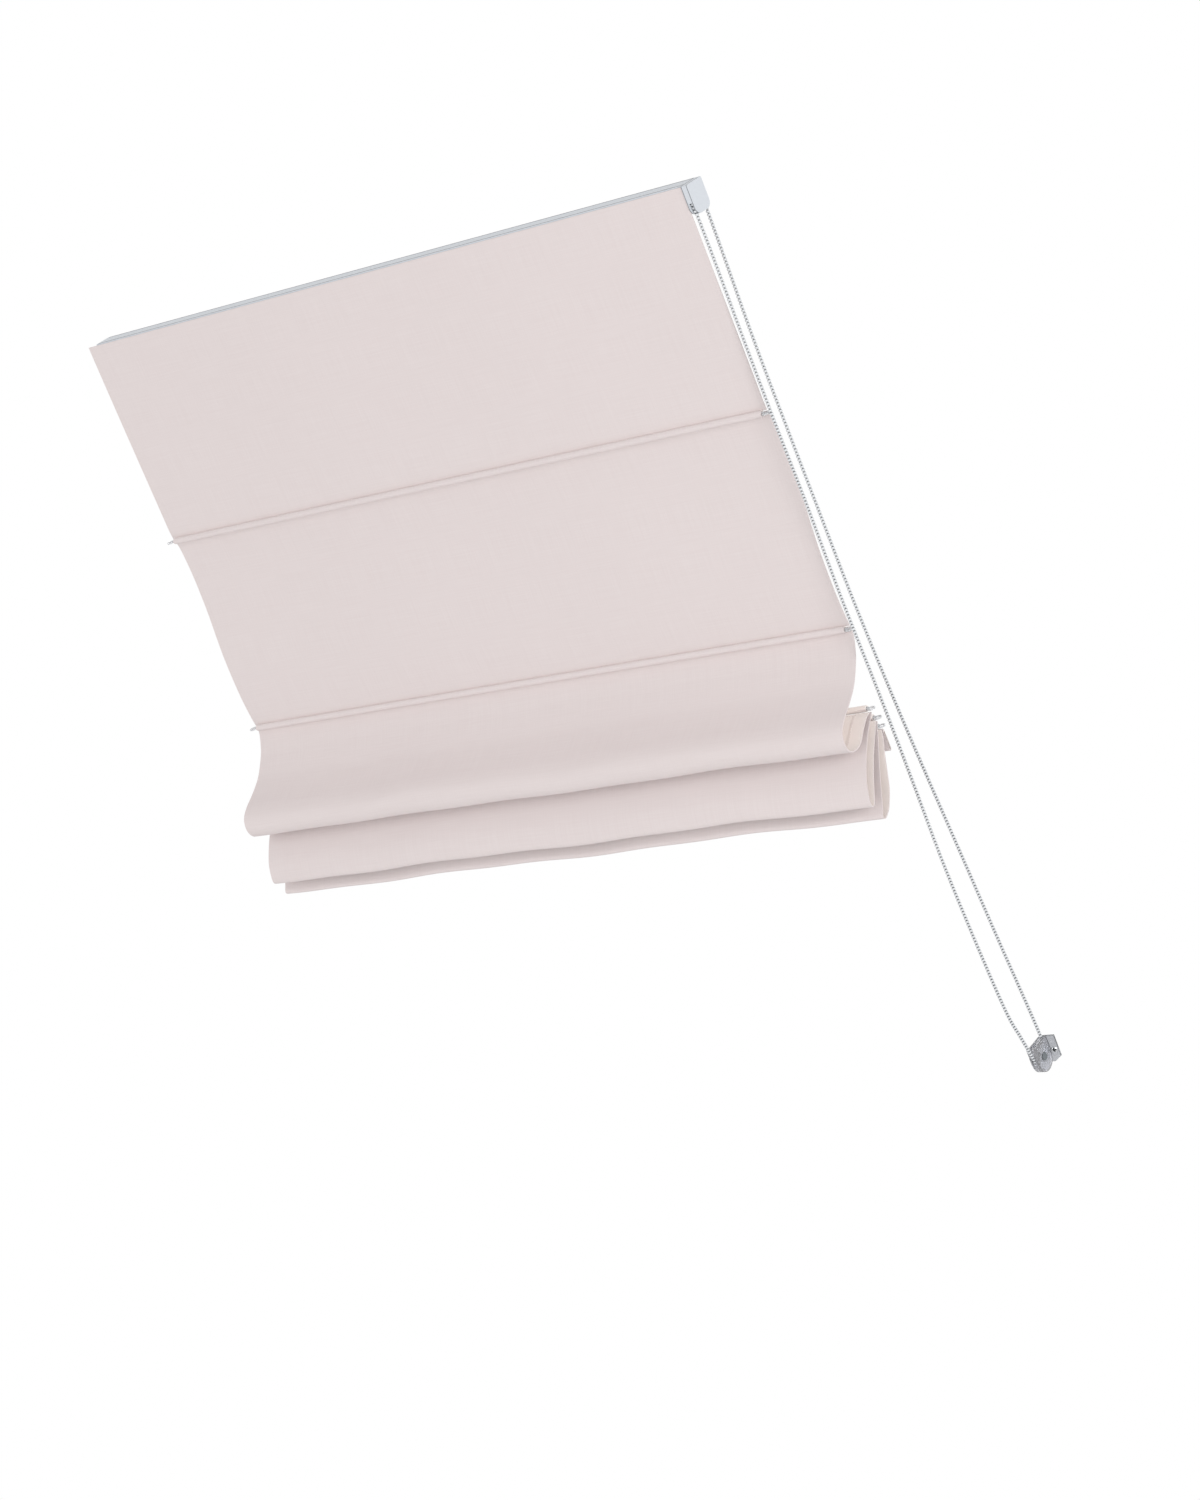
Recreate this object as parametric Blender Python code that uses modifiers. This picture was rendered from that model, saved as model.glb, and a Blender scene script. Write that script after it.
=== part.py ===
"""Roman blind of a pitched roof window: rail, chain drive, cloth, rods and chain tensioner.

Metres, +Z up. The blind leans as it hangs under the roof, so its pieces are set out in a slope
frame: x along the rail, depth towards the roof, and drop down the slope from the cloth's top edge.
The world's origin is the middle of the centre bracket's back face, which lies on the window lining.
"""

import math

import bmesh
import bpy
import numpy as np
from mathutils import Vector

# Driving dimensions
ROOF_PITCH = math.radians(55.0)
CLOTH_WIDTH = 0.850
CLOTH_THICK = 0.0008
WALL_DEPTH = 0.0288
GAP = 0.0003
MERGE = 0.00001
PAST = 0.0010

# Headrail: an open channel with lips below and a bracket track on its back
RAIL_FRONT = 0.0023
RAIL_BACK = 0.0265
RAIL_TOP = -0.0010
RAIL_BOTTOM = 0.0290
RAIL_WALL = 0.0012
RAIL_EDGE = 0.0008
RAIL_LEFT = -0.4119
RAIL_RIGHT = 0.4247
RAIL_MIDDLE = (RAIL_TOP + RAIL_BOTTOM) / 2
FRONT_LIP = 0.0080
BACK_LIP = 0.0210
TRACK_MOUTH = 0.0060
TRACK_WIDTH = 0.0100
TRACK_DEEP = 0.0020
INNER_BACK = RAIL_BACK - 2 * RAIL_WALL - TRACK_DEEP
STRIP_DROPS = (0.0020, 0.0220)
STRIP_INSETS = (0.0020, 0.0040)
PLUG_CORNER = 0.0010

# Drive: shaft line, chain wheel and cover at the rail's right end
SHAFT_DEPTH = 0.0123
SHAFT_DROP = 0.0145
SHAFT_RADIUS = 0.0032
SHAFT_BORE = 0.0036
SHAFT_ENDS = (-0.2950, 0.4240)
WHEEL_X = 0.4293
COVER_ENDS = (0.4253, 0.4330)
COVER_FRONT = -0.0012
COVER_BOTTOM = 0.0306
COVER_FLOOR = 0.0011
COVER_CORNER = 0.0080
COVER_EDGE = 0.0012
WINDOW_TOP = 0.0180
STRAND_HALF = 0.0022
HOUSING_ENDS = (0.3960, 0.4244)
HOUSING_WALL = 0.0040
HOUSING_BORE = 0.0070
HUB_START = 0.4030
HUB_RADIUS = 0.0054
WHEEL_HALF = 0.0022
RIM_RISE = 0.0007
NOTCH_SHARE = 0.43
SPRING_WIRE = 0.0005
SPRING_RADIUS = 0.0062
SPRING_START = 0.4055
SPRING_PITCH = 0.0021
SPRING_TURNS = 7

# Bead chain, a small-ball chain, and the wheels that carry it
BEAD_PITCH = 0.0036
BEAD_RADIUS = 0.0016
WHEEL_BEADS = 18
PULLEY_BEADS = 23
WHEEL_RADIUS = WHEEL_BEADS * BEAD_PITCH / (2 * math.pi)
PULLEY_RADIUS = PULLEY_BEADS * BEAD_PITCH / (2 * math.pi)
GROOVE_RADIUS = BEAD_RADIUS + GAP

# Chain tensioner on the lining, low on the right
PULLEY_X = 0.4495
PULLEY_DEPTH = 0.0105
PULLEY_DROP = 1.0020
CHEEK_ENDS = (0.4455, 0.4535)
CHEEK_THICK = 0.0015
CHEEK_RADIUS = 0.0165
CHEEK_TOP = 0.9850
PIN_RADIUS = 0.0022
PIN_BORE = 0.0025
PIN_HEAD = 0.0045
PIN_HEAD_THICK = 0.0009
PIN_EDGE = 0.0003
SLOT_TOP = 0.0020
SLOT_LIP = 0.0015
FLANGE_XS = (0.4470, 0.4625)
FLANGE_DROPS = (0.9860, 1.0130)
FLANGE_THICK = 0.0022
SCREW_X = 0.4578
SCREW_DROP = 1.0030
SCREW_RADIUS = 0.0018
SCREW_HEAD = 0.0035
SCREW_DOME = 0.6

# Chain strands, (drop, depth) between the two wheels' tangents
ROOM_STRAND = [
    (0.030, 0.0010), (0.080, -0.0005), (0.165, -0.0040), (0.250, -0.0070), (0.340, -0.0090),
    (0.450, -0.0140), (0.565, -0.0155), (0.655, -0.0185), (0.750, -0.0225), (0.850, -0.0215),
    (0.930, -0.0180), (0.965, -0.0110),
]
ROOF_STRAND = [
    (0.030, 0.0215), (0.086, 0.0180), (0.171, 0.0122), (0.257, 0.0090), (0.346, 0.0066),
    (0.458, 0.0038), (0.574, 0.0052), (0.669, 0.0086), (0.767, 0.0131), (0.866, 0.0175),
    (0.954, 0.0222),
]

# Rods across the cloth, (drop, depth), top to bottom: two hang free and three are gathered
RODS = [(0.2421, -0.0026), (0.4841, -0.0026), (0.5680, -0.0170), (0.5810, -0.0120), (0.5910, -0.0115)]
ROD_RADIUS = 0.0020
ROD_HALF = 0.4140
POCKET_BORE = ROD_RADIUS + GAP
POCKET_RADIUS = 0.0034
POCKET_HALF = 0.4205
EYE_REACH = 0.0116
EYE_RISE = 0.0024
EYE_THICK = 0.0016
EYE_BORE = 0.0015
EYE_HALF = 0.0040
EYE_TIP = 0.0026

# Clear eyes on the rods' ends
RING_X = 0.4260
RING_RADIUS = 0.0040
RING_WIRE = 0.0009
RING_OFFSET = -0.0011

# Cloth routes between the rods, (drop, depth) along the middle of the cloth
PANELS = [
    [(0.0, 0.0004), (0.120, 0.0004), (0.205, -0.0008), (0.2382, -0.0026)],
    [(0.2411, 0.0018), (0.247, 0.0037), (0.258, 0.0050), (0.290, 0.0062), (0.333, 0.0043),
     (0.370, 0.0004), (0.400, -0.0022), (0.440, -0.0032), (0.4802, -0.0026)],
    [(0.4831, 0.0018), (0.490, 0.0018), (0.499, 0.0003), (0.510, -0.0034), (0.522, -0.0095),
     (0.533, -0.0200), (0.542, -0.0330), (0.551, -0.0520), (0.5605, -0.0690), (0.569, -0.0795),
     (0.579, -0.0812), (0.588, -0.0760), (0.591, -0.0660), (0.589, -0.0545), (0.580, -0.0415),
     (0.573, -0.0300), (0.5706, -0.0218)],
    [(0.5722, -0.0179), (0.579, -0.0268), (0.5887, -0.0390), (0.600, -0.0495), (0.6120, -0.0595),
     (0.6273, -0.0700), (0.6400, -0.0750), (0.6485, -0.0765), (0.6523, -0.0735), (0.6500, -0.0685),
     (0.6407, -0.0561), (0.6270, -0.0425), (0.6067, -0.0275), (0.5930, -0.0213), (0.5828, -0.0163)],
    [(0.5846, -0.0143), (0.5885, -0.0178), (0.6000, -0.0205), (0.6210, -0.0320), (0.6466, -0.0487),
     (0.6600, -0.0590), (0.6686, -0.0648), (0.6722, -0.0620), (0.6706, -0.0560), (0.6655, -0.0485),
     (0.6520, -0.0375), (0.6382, -0.0310), (0.6177, -0.0225), (0.6030, -0.0152), (0.5946, -0.0132)],
]

# Hem with its flat bottom bar
HEM_TOP = 0.5952
HEM_BOTTOM = 0.6205
HEM_FRONT = -0.0120
HEM_BACK = -0.0084
HEM_WALL = 0.0004
HEM_CORNER = 0.0010
BAR_TOP = 0.5985
BAR_BOTTOM = 0.6185
BAR_HALF = 0.4150
BAR_CORNER = 0.0006

# Lift cords, their spools and cradles
CORD_X = 0.2700
CORD_RADIUS = 0.0006
CORD_LEAVES = 0.0060
CORD_HANGS = (0.0145, 0.1300)
CORD_TAIL = 1.7
WOUND_RADIUS = 0.0072
WOUND_TURNS = 14
DRUM_RADIUS = 0.0062
FLANGE_RADIUS = 0.0085
FLANGE_ENDS = (0.0174, 0.0186)
JOURNAL_RADIUS = 0.0040
CRADLE_HALF = 0.0220
CRADLE_CHEEK = 0.0030
CRADLE_ROOF = 0.0025
LOCK_HALF = 0.0035

# Brackets behind the rail
BRACKETS = {"bracket_left": -0.3300, "bracket_centre": 0.0, "bracket_right": 0.3300}
BRACKET_HALF = 0.0110
BRACKET_PLATE = 0.0020
BRACKET_RISE = 0.0115
BRACKET_HOLE = 0.0018
BRACKET_HOLE_AT = 0.0080

# End cap
CAP_PLATE = 0.0018
CAP_PLUG = 0.0100
CAP_WALL = 0.0025
CAP_CORNER = 0.0012

# Rotations that lay a curve's or a turned piece's own axes in the slope frame
ALONG_X = (math.pi / 2, 0, math.pi / 2)
TURN_X = (0, math.pi / 2, 0)
TURN_DEPTH = (-math.pi / 2, 0, 0)
UPRIGHT = (0, 0, 0)

BEVEL_SIX = 1
BEVEL_EIGHT = 2


def clear_scene():
    """Remove what the scene holds."""
    for obj in list(bpy.data.objects):
        bpy.data.objects.remove(obj)


def collection(name):
    """New collection in the scene."""
    group = bpy.data.collections.new(name)
    bpy.context.scene.collection.children.link(group)
    return group


def linear(channel):
    """Linear value of an sRGB channel from 0 to 255."""
    value = channel / 255
    if value <= 0.04045:
        return value / 12.92
    return ((value + 0.055) / 1.055) ** 2.4


def material(name, colour, roughness, metallic=0.0, transmission=0.0):
    """Principled material from a six-digit sRGB colour."""
    mat = bpy.data.materials.new(name)
    mat.use_nodes = True
    shader = mat.node_tree.nodes["Principled BSDF"]
    red, green, blue = (linear(int(colour[i : i + 2], 16)) for i in (0, 2, 4))
    shader.inputs["Base Color"].default_value = (red, green, blue, 1)
    shader.inputs["Roughness"].default_value = roughness
    shader.inputs["Metallic"].default_value = metallic
    shader.inputs["Transmission Weight"].default_value = transmission
    return mat


def joint(name, depth, drop, parent=None, x=0.0):
    """Empty at a point of the slope frame, on the axis of what it carries."""
    empty = bpy.data.objects.new(name, None)
    PARTS.objects.link(empty)
    empty["x"] = x
    empty["depth"] = depth
    empty["drop"] = drop
    if parent:
        empty.parent = parent
        empty.location = local(parent, x, depth, drop)
    return empty


def local(parent, x, depth, drop):
    """A point of the slope frame as seen from a joint's empty."""
    return Vector((x - parent["x"], depth - parent["depth"], parent["drop"] - drop))


def add(obj, parent, x, depth, drop, mat=None, smooth=None):
    """Hang a piece on its joint; without a material it is a tool that shapes another piece."""
    for group in list(obj.users_collection):
        group.objects.unlink(obj)
    obj.parent = parent
    obj.location = local(parent, x, depth, drop)
    if mat:
        PARTS.objects.link(obj)
        obj.data.materials.clear()
        obj.data.materials.append(mat)
    else:
        TOOLS.objects.link(obj)
        obj.hide_render = True
        obj.display_type = "WIRE"
    if smooth:
        obj.data.shade_smooth()
        obj.data.set_sharp_from_angle(angle=math.radians(smooth))
    return obj


def baked(obj):
    """Mesh object of what the viewport shows of an object, which it replaces."""
    bpy.context.view_layer.update()
    seen = obj.evaluated_get(bpy.context.evaluated_depsgraph_get())
    mesh = bpy.data.meshes.new_from_object(seen)
    name = obj.name
    matrix = obj.matrix_world.copy()
    bpy.data.objects.remove(obj)
    bm = bmesh.new()
    bm.from_mesh(mesh)
    bmesh.ops.remove_doubles(bm, verts=bm.verts, dist=MERGE)
    bm.to_mesh(mesh)
    bm.free()
    result = bpy.data.objects.new(name, mesh)
    bpy.context.scene.collection.objects.link(result)
    result.matrix_world = matrix
    return result


def curve_piece(name, curve, rotation):
    """Mesh object of a curve, turned into the slope frame."""
    obj = bpy.data.objects.new(name, curve)
    bpy.context.scene.collection.objects.link(obj)
    obj.rotation_euler = rotation
    return baked(obj)


def outline_curve(name, outlines, height):
    """Flat curve of closed outlines, filled and drawn out to a height."""
    curve = bpy.data.curves.new(name, "CURVE")
    curve.dimensions = "2D"
    curve.fill_mode = "BOTH"
    curve.extrude = height / 2
    for outline in outlines:
        spline = curve.splines.new("POLY")
        spline.points.add(len(outline) - 1)
        for point, (across, up) in zip(spline.points, outline):
            point.co = (across, up, 0, 1)
        spline.use_cyclic_u = True
    return curve


def extruded(name, outlines, ends, parent, mat=None, smooth=None):
    """Outlines in (depth, drop), drawn out along x between two ends."""
    origin = parent["depth"], parent["drop"]
    flat = [[(depth - origin[0], origin[1] - drop) for depth, drop in loop] for loop in outlines]
    curve = outline_curve(name, flat, ends[1] - ends[0])
    obj = curve_piece(name, curve, ALONG_X)
    return add(obj, parent, sum(ends) / 2, *origin, mat, smooth)


def plate(name, outlines, drops, parent, mat=None, smooth=None):
    """Outlines in (x, depth), drawn out along the slope between two drops."""
    flat = [[(x - parent["x"], depth - parent["depth"]) for x, depth in loop] for loop in outlines]
    curve = outline_curve(name, flat, drops[1] - drops[0])
    obj = curve_piece(name, curve, UPRIGHT)
    return add(obj, parent, parent["x"], parent["depth"], sum(drops) / 2, mat, smooth)


def turned(name, profile, centre, rotation, parent, mat=None, steps=24, smooth=30):
    """Closed profile of (radius, along), down its outer side first, turned about an axis."""
    mesh = bpy.data.meshes.new(name)
    count = len(profile)
    verts = [(radius, 0, along) for radius, along in profile]
    edges = [(i, (i + 1) % count) for i in range(count)]
    mesh.from_pydata(verts, edges, [])
    obj = bpy.data.objects.new(name, mesh)
    bpy.context.scene.collection.objects.link(obj)
    obj.rotation_euler = rotation
    screw = obj.modifiers.new("turn", "SCREW")
    screw.steps = steps
    screw.render_steps = steps
    screw.use_merge_vertices = True
    screw.merge_threshold = MERGE
    return add(baked(obj), parent, *centre, mat, smooth)


def cylinder(name, radius, length, centre, rotation, parent, mat=None, sides=24, smooth=30):
    """Round bar about an axis through its centre."""
    bpy.ops.mesh.primitive_cylinder_add(vertices=sides, radius=radius, depth=length)
    obj = bpy.context.object
    obj.name = name
    obj.rotation_euler = rotation
    return add(obj, parent, *centre, mat, smooth)


def box(name, xs, depths, drops, parent, mat=None):
    """Block between two values of x, depth and drop."""
    bpy.ops.mesh.primitive_cube_add(size=1)
    obj = bpy.context.object
    obj.name = name
    size = Vector((xs[1] - xs[0], depths[1] - depths[0], drops[1] - drops[0]))
    for vertex in obj.data.vertices:
        vertex.co *= size
    return add(obj, parent, sum(xs) / 2, sum(depths) / 2, sum(drops) / 2, mat)


def tube(name, route, radius, bevel, parent, mat):
    """Round cord through points of (x, depth, drop)."""
    curve = bpy.data.curves.new(name, "CURVE")
    curve.dimensions = "3D"
    curve.bevel_depth = radius
    curve.bevel_resolution = bevel
    curve.use_fill_caps = True
    spline = curve.splines.new("POLY")
    spline.points.add(len(route) - 1)
    for point, place in zip(spline.points, route):
        point.co = (*local(parent, *place), 1)
    obj = curve_piece(name, curve, UPRIGHT)
    return add(obj, parent, parent["x"], parent["depth"], parent["drop"], mat, smooth=50)


def boolean(obj, tool, operation):
    """Cut a piece with a tool, or join the tool to it."""
    modifier = obj.modifiers.new(operation.lower(), "BOOLEAN")
    modifier.operation = operation
    modifier.object = tool
    return obj


def rounded(corners, steps=3):
    """Outline from corners (a, b, radius), each radius an arc of a few points."""
    points = []
    for i, (a, b, radius) in enumerate(corners):
        corner = Vector((a, b))
        if radius == 0:
            points.append((a, b))
            continue
        before = (Vector(corners[i - 1][:2]) - corner).normalized()
        after = (Vector(corners[(i + 1) % len(corners)][:2]) - corner).normalized()
        half = before.angle(after) / 2
        middle = corner + (before + after).normalized() * radius / math.sin(half)
        first = corner + before * radius / math.tan(half) - middle
        last = corner + after * radius / math.tan(half) - middle
        sweep = math.atan2(first.x * last.y - first.y * last.x, first.dot(last))
        for k in range(steps + 1):
            points.append(turn(middle, first, sweep * k / steps))
    return points


def turn(middle, arm, angle):
    """End of an arm turned about a middle point."""
    cos, sin = math.cos(angle), math.sin(angle)
    return (middle.x + arm.x * cos - arm.y * sin, middle.y + arm.x * sin + arm.y * cos)


def rectangle(depths, drops, radius=0.0):
    """Outline of a rectangle, with round corners of one radius."""
    corners = [(depths[0], drops[0]), (depths[1], drops[0]), (depths[1], drops[1]), (depths[0], drops[1])]
    return rounded([(depth, drop, radius) for depth, drop in corners])


def circle(across, along, radius, sides=16):
    """Outline of a circle."""
    angles = [2 * math.pi * i / sides for i in range(sides)]
    return [(across + radius * math.cos(a), along + radius * math.sin(a)) for a in angles]


def groove(radius, half_width, tip):
    """Rim profile (radius, along) of a grooved wheel from its upper face to its lower one."""
    arc = [math.pi * k / 4 for k in range(5)]
    floor = [(radius - GROOVE_RADIUS * math.sin(a), GROOVE_RADIUS * math.cos(a)) for a in arc]
    return [(tip, half_width), (tip, GROOVE_RADIUS), *floor, (tip, -GROOVE_RADIUS), (tip, -half_width)]


def smooth_route(points, steps):
    """Catmull-Rom curve through route points, with a number of steps from each to the next."""
    known = np.array([list(point) for point in points], float)
    ends = np.vstack([2 * known[0] - known[1], known, 2 * known[-1] - known[-2]])
    route = []
    for a, b, c, d in zip(ends, ends[1:], ends[2:], ends[3:]):
        for t in np.linspace(0, 1, steps, endpoint=False):
            bend = (2 * a - 5 * b + 4 * c - d) * t**2 + (3 * b - a - 3 * c + d) * t**3
            route.append(0.5 * (2 * b + (c - a) * t + bend))
    return [*route, known[-1]]


def build_rail(root, mats):
    """Extruded headrail with its open bottom and the T-track on its back."""
    mouth = (RAIL_MIDDLE - TRACK_MOUTH / 2, RAIL_MIDDLE + TRACK_MOUTH / 2)
    track = (RAIL_MIDDLE - TRACK_WIDTH / 2, RAIL_MIDDLE + TRACK_WIDTH / 2)
    shell = (track[0] - RAIL_WALL, track[1] + RAIL_WALL)
    inner = RAIL_BACK - RAIL_WALL
    floor = INNER_BACK + RAIL_WALL
    front = RAIL_FRONT + RAIL_WALL
    top = RAIL_TOP + RAIL_WALL
    bottom = RAIL_BOTTOM - RAIL_WALL
    outline = rounded([
        (RAIL_FRONT, RAIL_TOP, RAIL_EDGE), (RAIL_BACK, RAIL_TOP, RAIL_EDGE), (RAIL_BACK, mouth[0], 0),
        (inner, mouth[0], 0), (inner, track[0], 0), (floor, track[0], 0), (floor, track[1], 0),
        (inner, track[1], 0), (inner, mouth[1], 0), (RAIL_BACK, mouth[1], 0),
        (RAIL_BACK, RAIL_BOTTOM, RAIL_EDGE), (BACK_LIP, RAIL_BOTTOM, 0), (BACK_LIP, bottom, 0),
        (inner, bottom, 0), (inner, shell[1], 0), (INNER_BACK, shell[1], 0), (INNER_BACK, shell[0], 0),
        (inner, shell[0], 0), (inner, top, 0), (front, top, 0), (front, bottom, 0),
        (FRONT_LIP, bottom, 0), (FRONT_LIP, RAIL_BOTTOM, 0), (RAIL_FRONT, RAIL_BOTTOM, RAIL_EDGE),
    ])
    extruded("headrail", [outline], (RAIL_LEFT, RAIL_RIGHT), root, mats["aluminium"])


def build_hook_strip(root, mats):
    """Thin strip on the rail's front that the cloth's top edge grips."""
    depths = (CLOTH_THICK + GAP, RAIL_FRONT - GAP)
    ends = (RAIL_LEFT + STRIP_INSETS[0], RAIL_RIGHT - STRIP_INSETS[1])
    extruded("hook_strip", [rectangle(depths, STRIP_DROPS)], ends, root, mats["strip"])


def plug_outline(inset=GAP):
    """Outline inside the rail's walls, in front of the bracket track."""
    depths = (RAIL_FRONT + RAIL_WALL + inset, INNER_BACK - inset)
    drops = (RAIL_TOP + RAIL_WALL + inset, RAIL_BOTTOM - RAIL_WALL - inset)
    return rectangle(depths, drops, PLUG_CORNER)


def build_end_cap(root, mats):
    """Left end cap: a plate over the rail's end with a plug inside it."""
    plate_ends = (RAIL_LEFT - GAP - CAP_PLATE, RAIL_LEFT - GAP)
    outline = rectangle((RAIL_FRONT, RAIL_BACK), (RAIL_TOP, RAIL_BOTTOM), CAP_CORNER)
    cap = extruded("end_cap_left", [outline], plate_ends, root, mats["plastic"], 30)
    plug_ends = (plate_ends[1] - CAP_PLATE / 4, RAIL_LEFT + CAP_PLUG)
    ring = [plug_outline(), plug_outline(GAP + CAP_WALL)]
    boolean(cap, extruded("end_cap_plug", ring, plug_ends, root), "UNION")


def build_brackets(root, mats):
    """Three brackets: a plate on the lining with a T-shaped tongue that the rail slides over."""
    mouth = TRACK_MOUTH / 2 - GAP
    track = TRACK_WIDTH / 2 - GAP
    tongue = (RAIL_BACK - RAIL_WALL - TRACK_DEEP + GAP, RAIL_BACK - RAIL_WALL - GAP)
    front = WALL_DEPTH - BRACKET_PLATE
    half = BRACKET_RISE
    outline = [
        (tongue[0], RAIL_MIDDLE - track), (tongue[1], RAIL_MIDDLE - track),
        (tongue[1], RAIL_MIDDLE - mouth), (front, RAIL_MIDDLE - mouth),
        (front, RAIL_MIDDLE - half), (WALL_DEPTH, RAIL_MIDDLE - half),
        (WALL_DEPTH, RAIL_MIDDLE + half), (front, RAIL_MIDDLE + half),
        (front, RAIL_MIDDLE + mouth), (tongue[1], RAIL_MIDDLE + mouth),
        (tongue[1], RAIL_MIDDLE + track), (tongue[0], RAIL_MIDDLE + track),
    ]
    for name, x in BRACKETS.items():
        ends = (x - BRACKET_HALF, x + BRACKET_HALF)
        bracket = extruded(name, [outline], ends, root, mats["steel"])
        for side in (-1, 1):
            centre = (x, WALL_DEPTH, RAIL_MIDDLE + side * BRACKET_HOLE_AT)
            reach = 4 * BRACKET_PLATE
            hole = cylinder(f"{name}_hole", BRACKET_HOLE, reach, centre, TURN_DEPTH, root, sides=16)
            boolean(bracket, hole, "DIFFERENCE")


def build_drive(root, drive, mats):
    """Drive in the rail's right end: housing, wrap spring, chain wheel, shaft and cover."""
    centre = (SHAFT_DEPTH, SHAFT_DROP)
    length = HOUSING_ENDS[1] - HOUSING_ENDS[0]
    housing = extruded("drive_housing", [plug_outline()], HOUSING_ENDS, root, mats["plastic"], 30)
    middle = HOUSING_ENDS[0] + HOUSING_WALL + length / 2
    bore = cylinder("housing_bore", HOUSING_BORE, length, (middle, *centre), TURN_X, root)
    boolean(housing, bore, "DIFFERENCE")
    hole = cylinder("housing_hole", SHAFT_BORE, length, (HOUSING_ENDS[0], *centre), TURN_X, root, sides=16)
    boolean(housing, hole, "DIFFERENCE")
    cylinder("drive_shaft", SHAFT_RADIUS, SHAFT_ENDS[1] - SHAFT_ENDS[0],
             (sum(SHAFT_ENDS) / 2, *centre), TURN_X, drive, mats["steel"], sides=6, smooth=None)
    build_chain_wheel(drive, mats)
    build_clutch_spring(drive, mats)
    build_cover(root, mats)


def build_chain_wheel(drive, mats):
    """Chain wheel: a grooved rim with a notch for each bead, on a hub that carries the spring."""
    hub_end = HUB_START - WHEEL_X
    half = WHEEL_HALF
    rim = groove(WHEEL_RADIUS, half, WHEEL_RADIUS + RIM_RISE)
    profile = [*rim, (HUB_RADIUS, -half), (HUB_RADIUS, hub_end), (SHAFT_BORE, hub_end), (SHAFT_BORE, half)]
    centre = (WHEEL_X, SHAFT_DEPTH, SHAFT_DROP)
    wheel = turned("chain_wheel", profile, centre, TURN_X, drive, mats["dark plastic"], steps=18)
    for i in range(WHEEL_BEADS):
        angle = 2 * math.pi * i / WHEEL_BEADS
        depth = SHAFT_DEPTH + WHEEL_RADIUS * math.cos(angle)
        drop = SHAFT_DROP + WHEEL_RADIUS * math.sin(angle)
        place = (WHEEL_X, depth, drop)
        notch = cylinder(f"bead_notch_{i}", NOTCH_SHARE * BEAD_PITCH, 4 * half, place, TURN_X, drive, sides=6)
        boolean(wheel, notch, "DIFFERENCE")


def build_clutch_spring(drive, mats):
    """Wrap spring of the clutch, wound on the wheel's hub."""
    steps = 10
    route = []
    for i in range(SPRING_TURNS * steps + 1):
        angle = 2 * math.pi * i / steps
        depth = SHAFT_DEPTH + SPRING_RADIUS * math.cos(angle)
        drop = SHAFT_DROP + SPRING_RADIUS * math.sin(angle)
        route.append((SPRING_START + SPRING_PITCH * i / steps, depth, drop))
    points = np.array(route)
    gaps = np.linalg.norm(points[:-steps] - points[steps:], axis=1) - 2 * SPRING_WIRE
    print(f"clutch spring: least gap between its turns {gaps.min() * 1000:.2f} mm")
    tube("clutch_spring", route, SPRING_WIRE, BEVEL_SIX, drive, mats["steel"])


def build_cover(root, mats):
    """D-shaped drive cover, hollow for the wheel, with a way out for each chain strand."""
    outline = rounded([
        (COVER_FRONT, RAIL_TOP, COVER_EDGE), (RAIL_BACK, RAIL_TOP, COVER_EDGE),
        (RAIL_BACK, COVER_BOTTOM, COVER_CORNER), (COVER_FRONT, COVER_BOTTOM, COVER_CORNER),
    ], steps=6)
    cover = extruded("drive_cover", [outline], COVER_ENDS, root, mats["plastic"], 30)
    inside = (COVER_ENDS[0] - PAST, COVER_ENDS[1] - COVER_FLOOR)
    hollow = cylinder("cover_hollow", WHEEL_RADIUS + BEAD_RADIUS + GAP, inside[1] - inside[0],
                      (sum(inside) / 2, SHAFT_DEPTH, SHAFT_DROP), TURN_X, root, sides=32)
    boolean(cover, hollow, "DIFFERENCE")
    slot = (WHEEL_X - STRAND_HALF, WHEEL_X + STRAND_HALF)
    room = SHAFT_DEPTH - WHEEL_RADIUS
    roof = SHAFT_DEPTH + WHEEL_RADIUS
    ways = {"room": (room - STRAND_HALF, room + STRAND_HALF),
            "roof": (roof - STRAND_HALF - PAST, roof + STRAND_HALF)}
    for name, depths in ways.items():
        way = box(f"{name}_way", slot, depths, (SHAFT_DROP, COVER_BOTTOM + PAST), root)
        boolean(cover, way, "DIFFERENCE")
    window_drops = (WINDOW_TOP, COVER_BOTTOM + PAST / 2)
    window = box("front_window", slot, (COVER_FRONT - PAST, room), window_drops, root)
    boolean(cover, window, "DIFFERENCE")


def build_spools(root, drive, mats):
    """Two cord spools on the shaft, the cord wound on them, and their cradles in the rail."""
    for side, name in ((-1, "left"), (1, "right")):
        x = side * CORD_X
        centre = (x, SHAFT_DEPTH, SHAFT_DROP)
        end = CRADLE_HALF + GAP
        inner, flange = FLANGE_ENDS
        profile = [
            (JOURNAL_RADIUS, end), (JOURNAL_RADIUS, flange), (FLANGE_RADIUS, flange),
            (FLANGE_RADIUS, inner), (DRUM_RADIUS, inner), (DRUM_RADIUS, -inner),
            (FLANGE_RADIUS, -inner), (FLANGE_RADIUS, -flange), (JOURNAL_RADIUS, -flange),
            (JOURNAL_RADIUS, -end), (SHAFT_BORE, -end), (SHAFT_BORE, end),
        ]
        turned(f"spool_{name}", profile, centre, TURN_X, drive, mats["plastic"])
        radii = (WOUND_RADIUS + CORD_RADIUS, DRUM_RADIUS + GAP)
        last, first = CORD_RADIUS, CORD_RADIUS * (1 - 2 * WOUND_TURNS)
        wound = [(radii[0], last), (radii[0], first), (radii[1], first), (radii[1], last)]
        turned(f"wound_cord_{name}", wound, centre, TURN_X, drive, mats["cord"])
        build_cradle(f"spool_cradle_{name}", x, root, mats)


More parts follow.
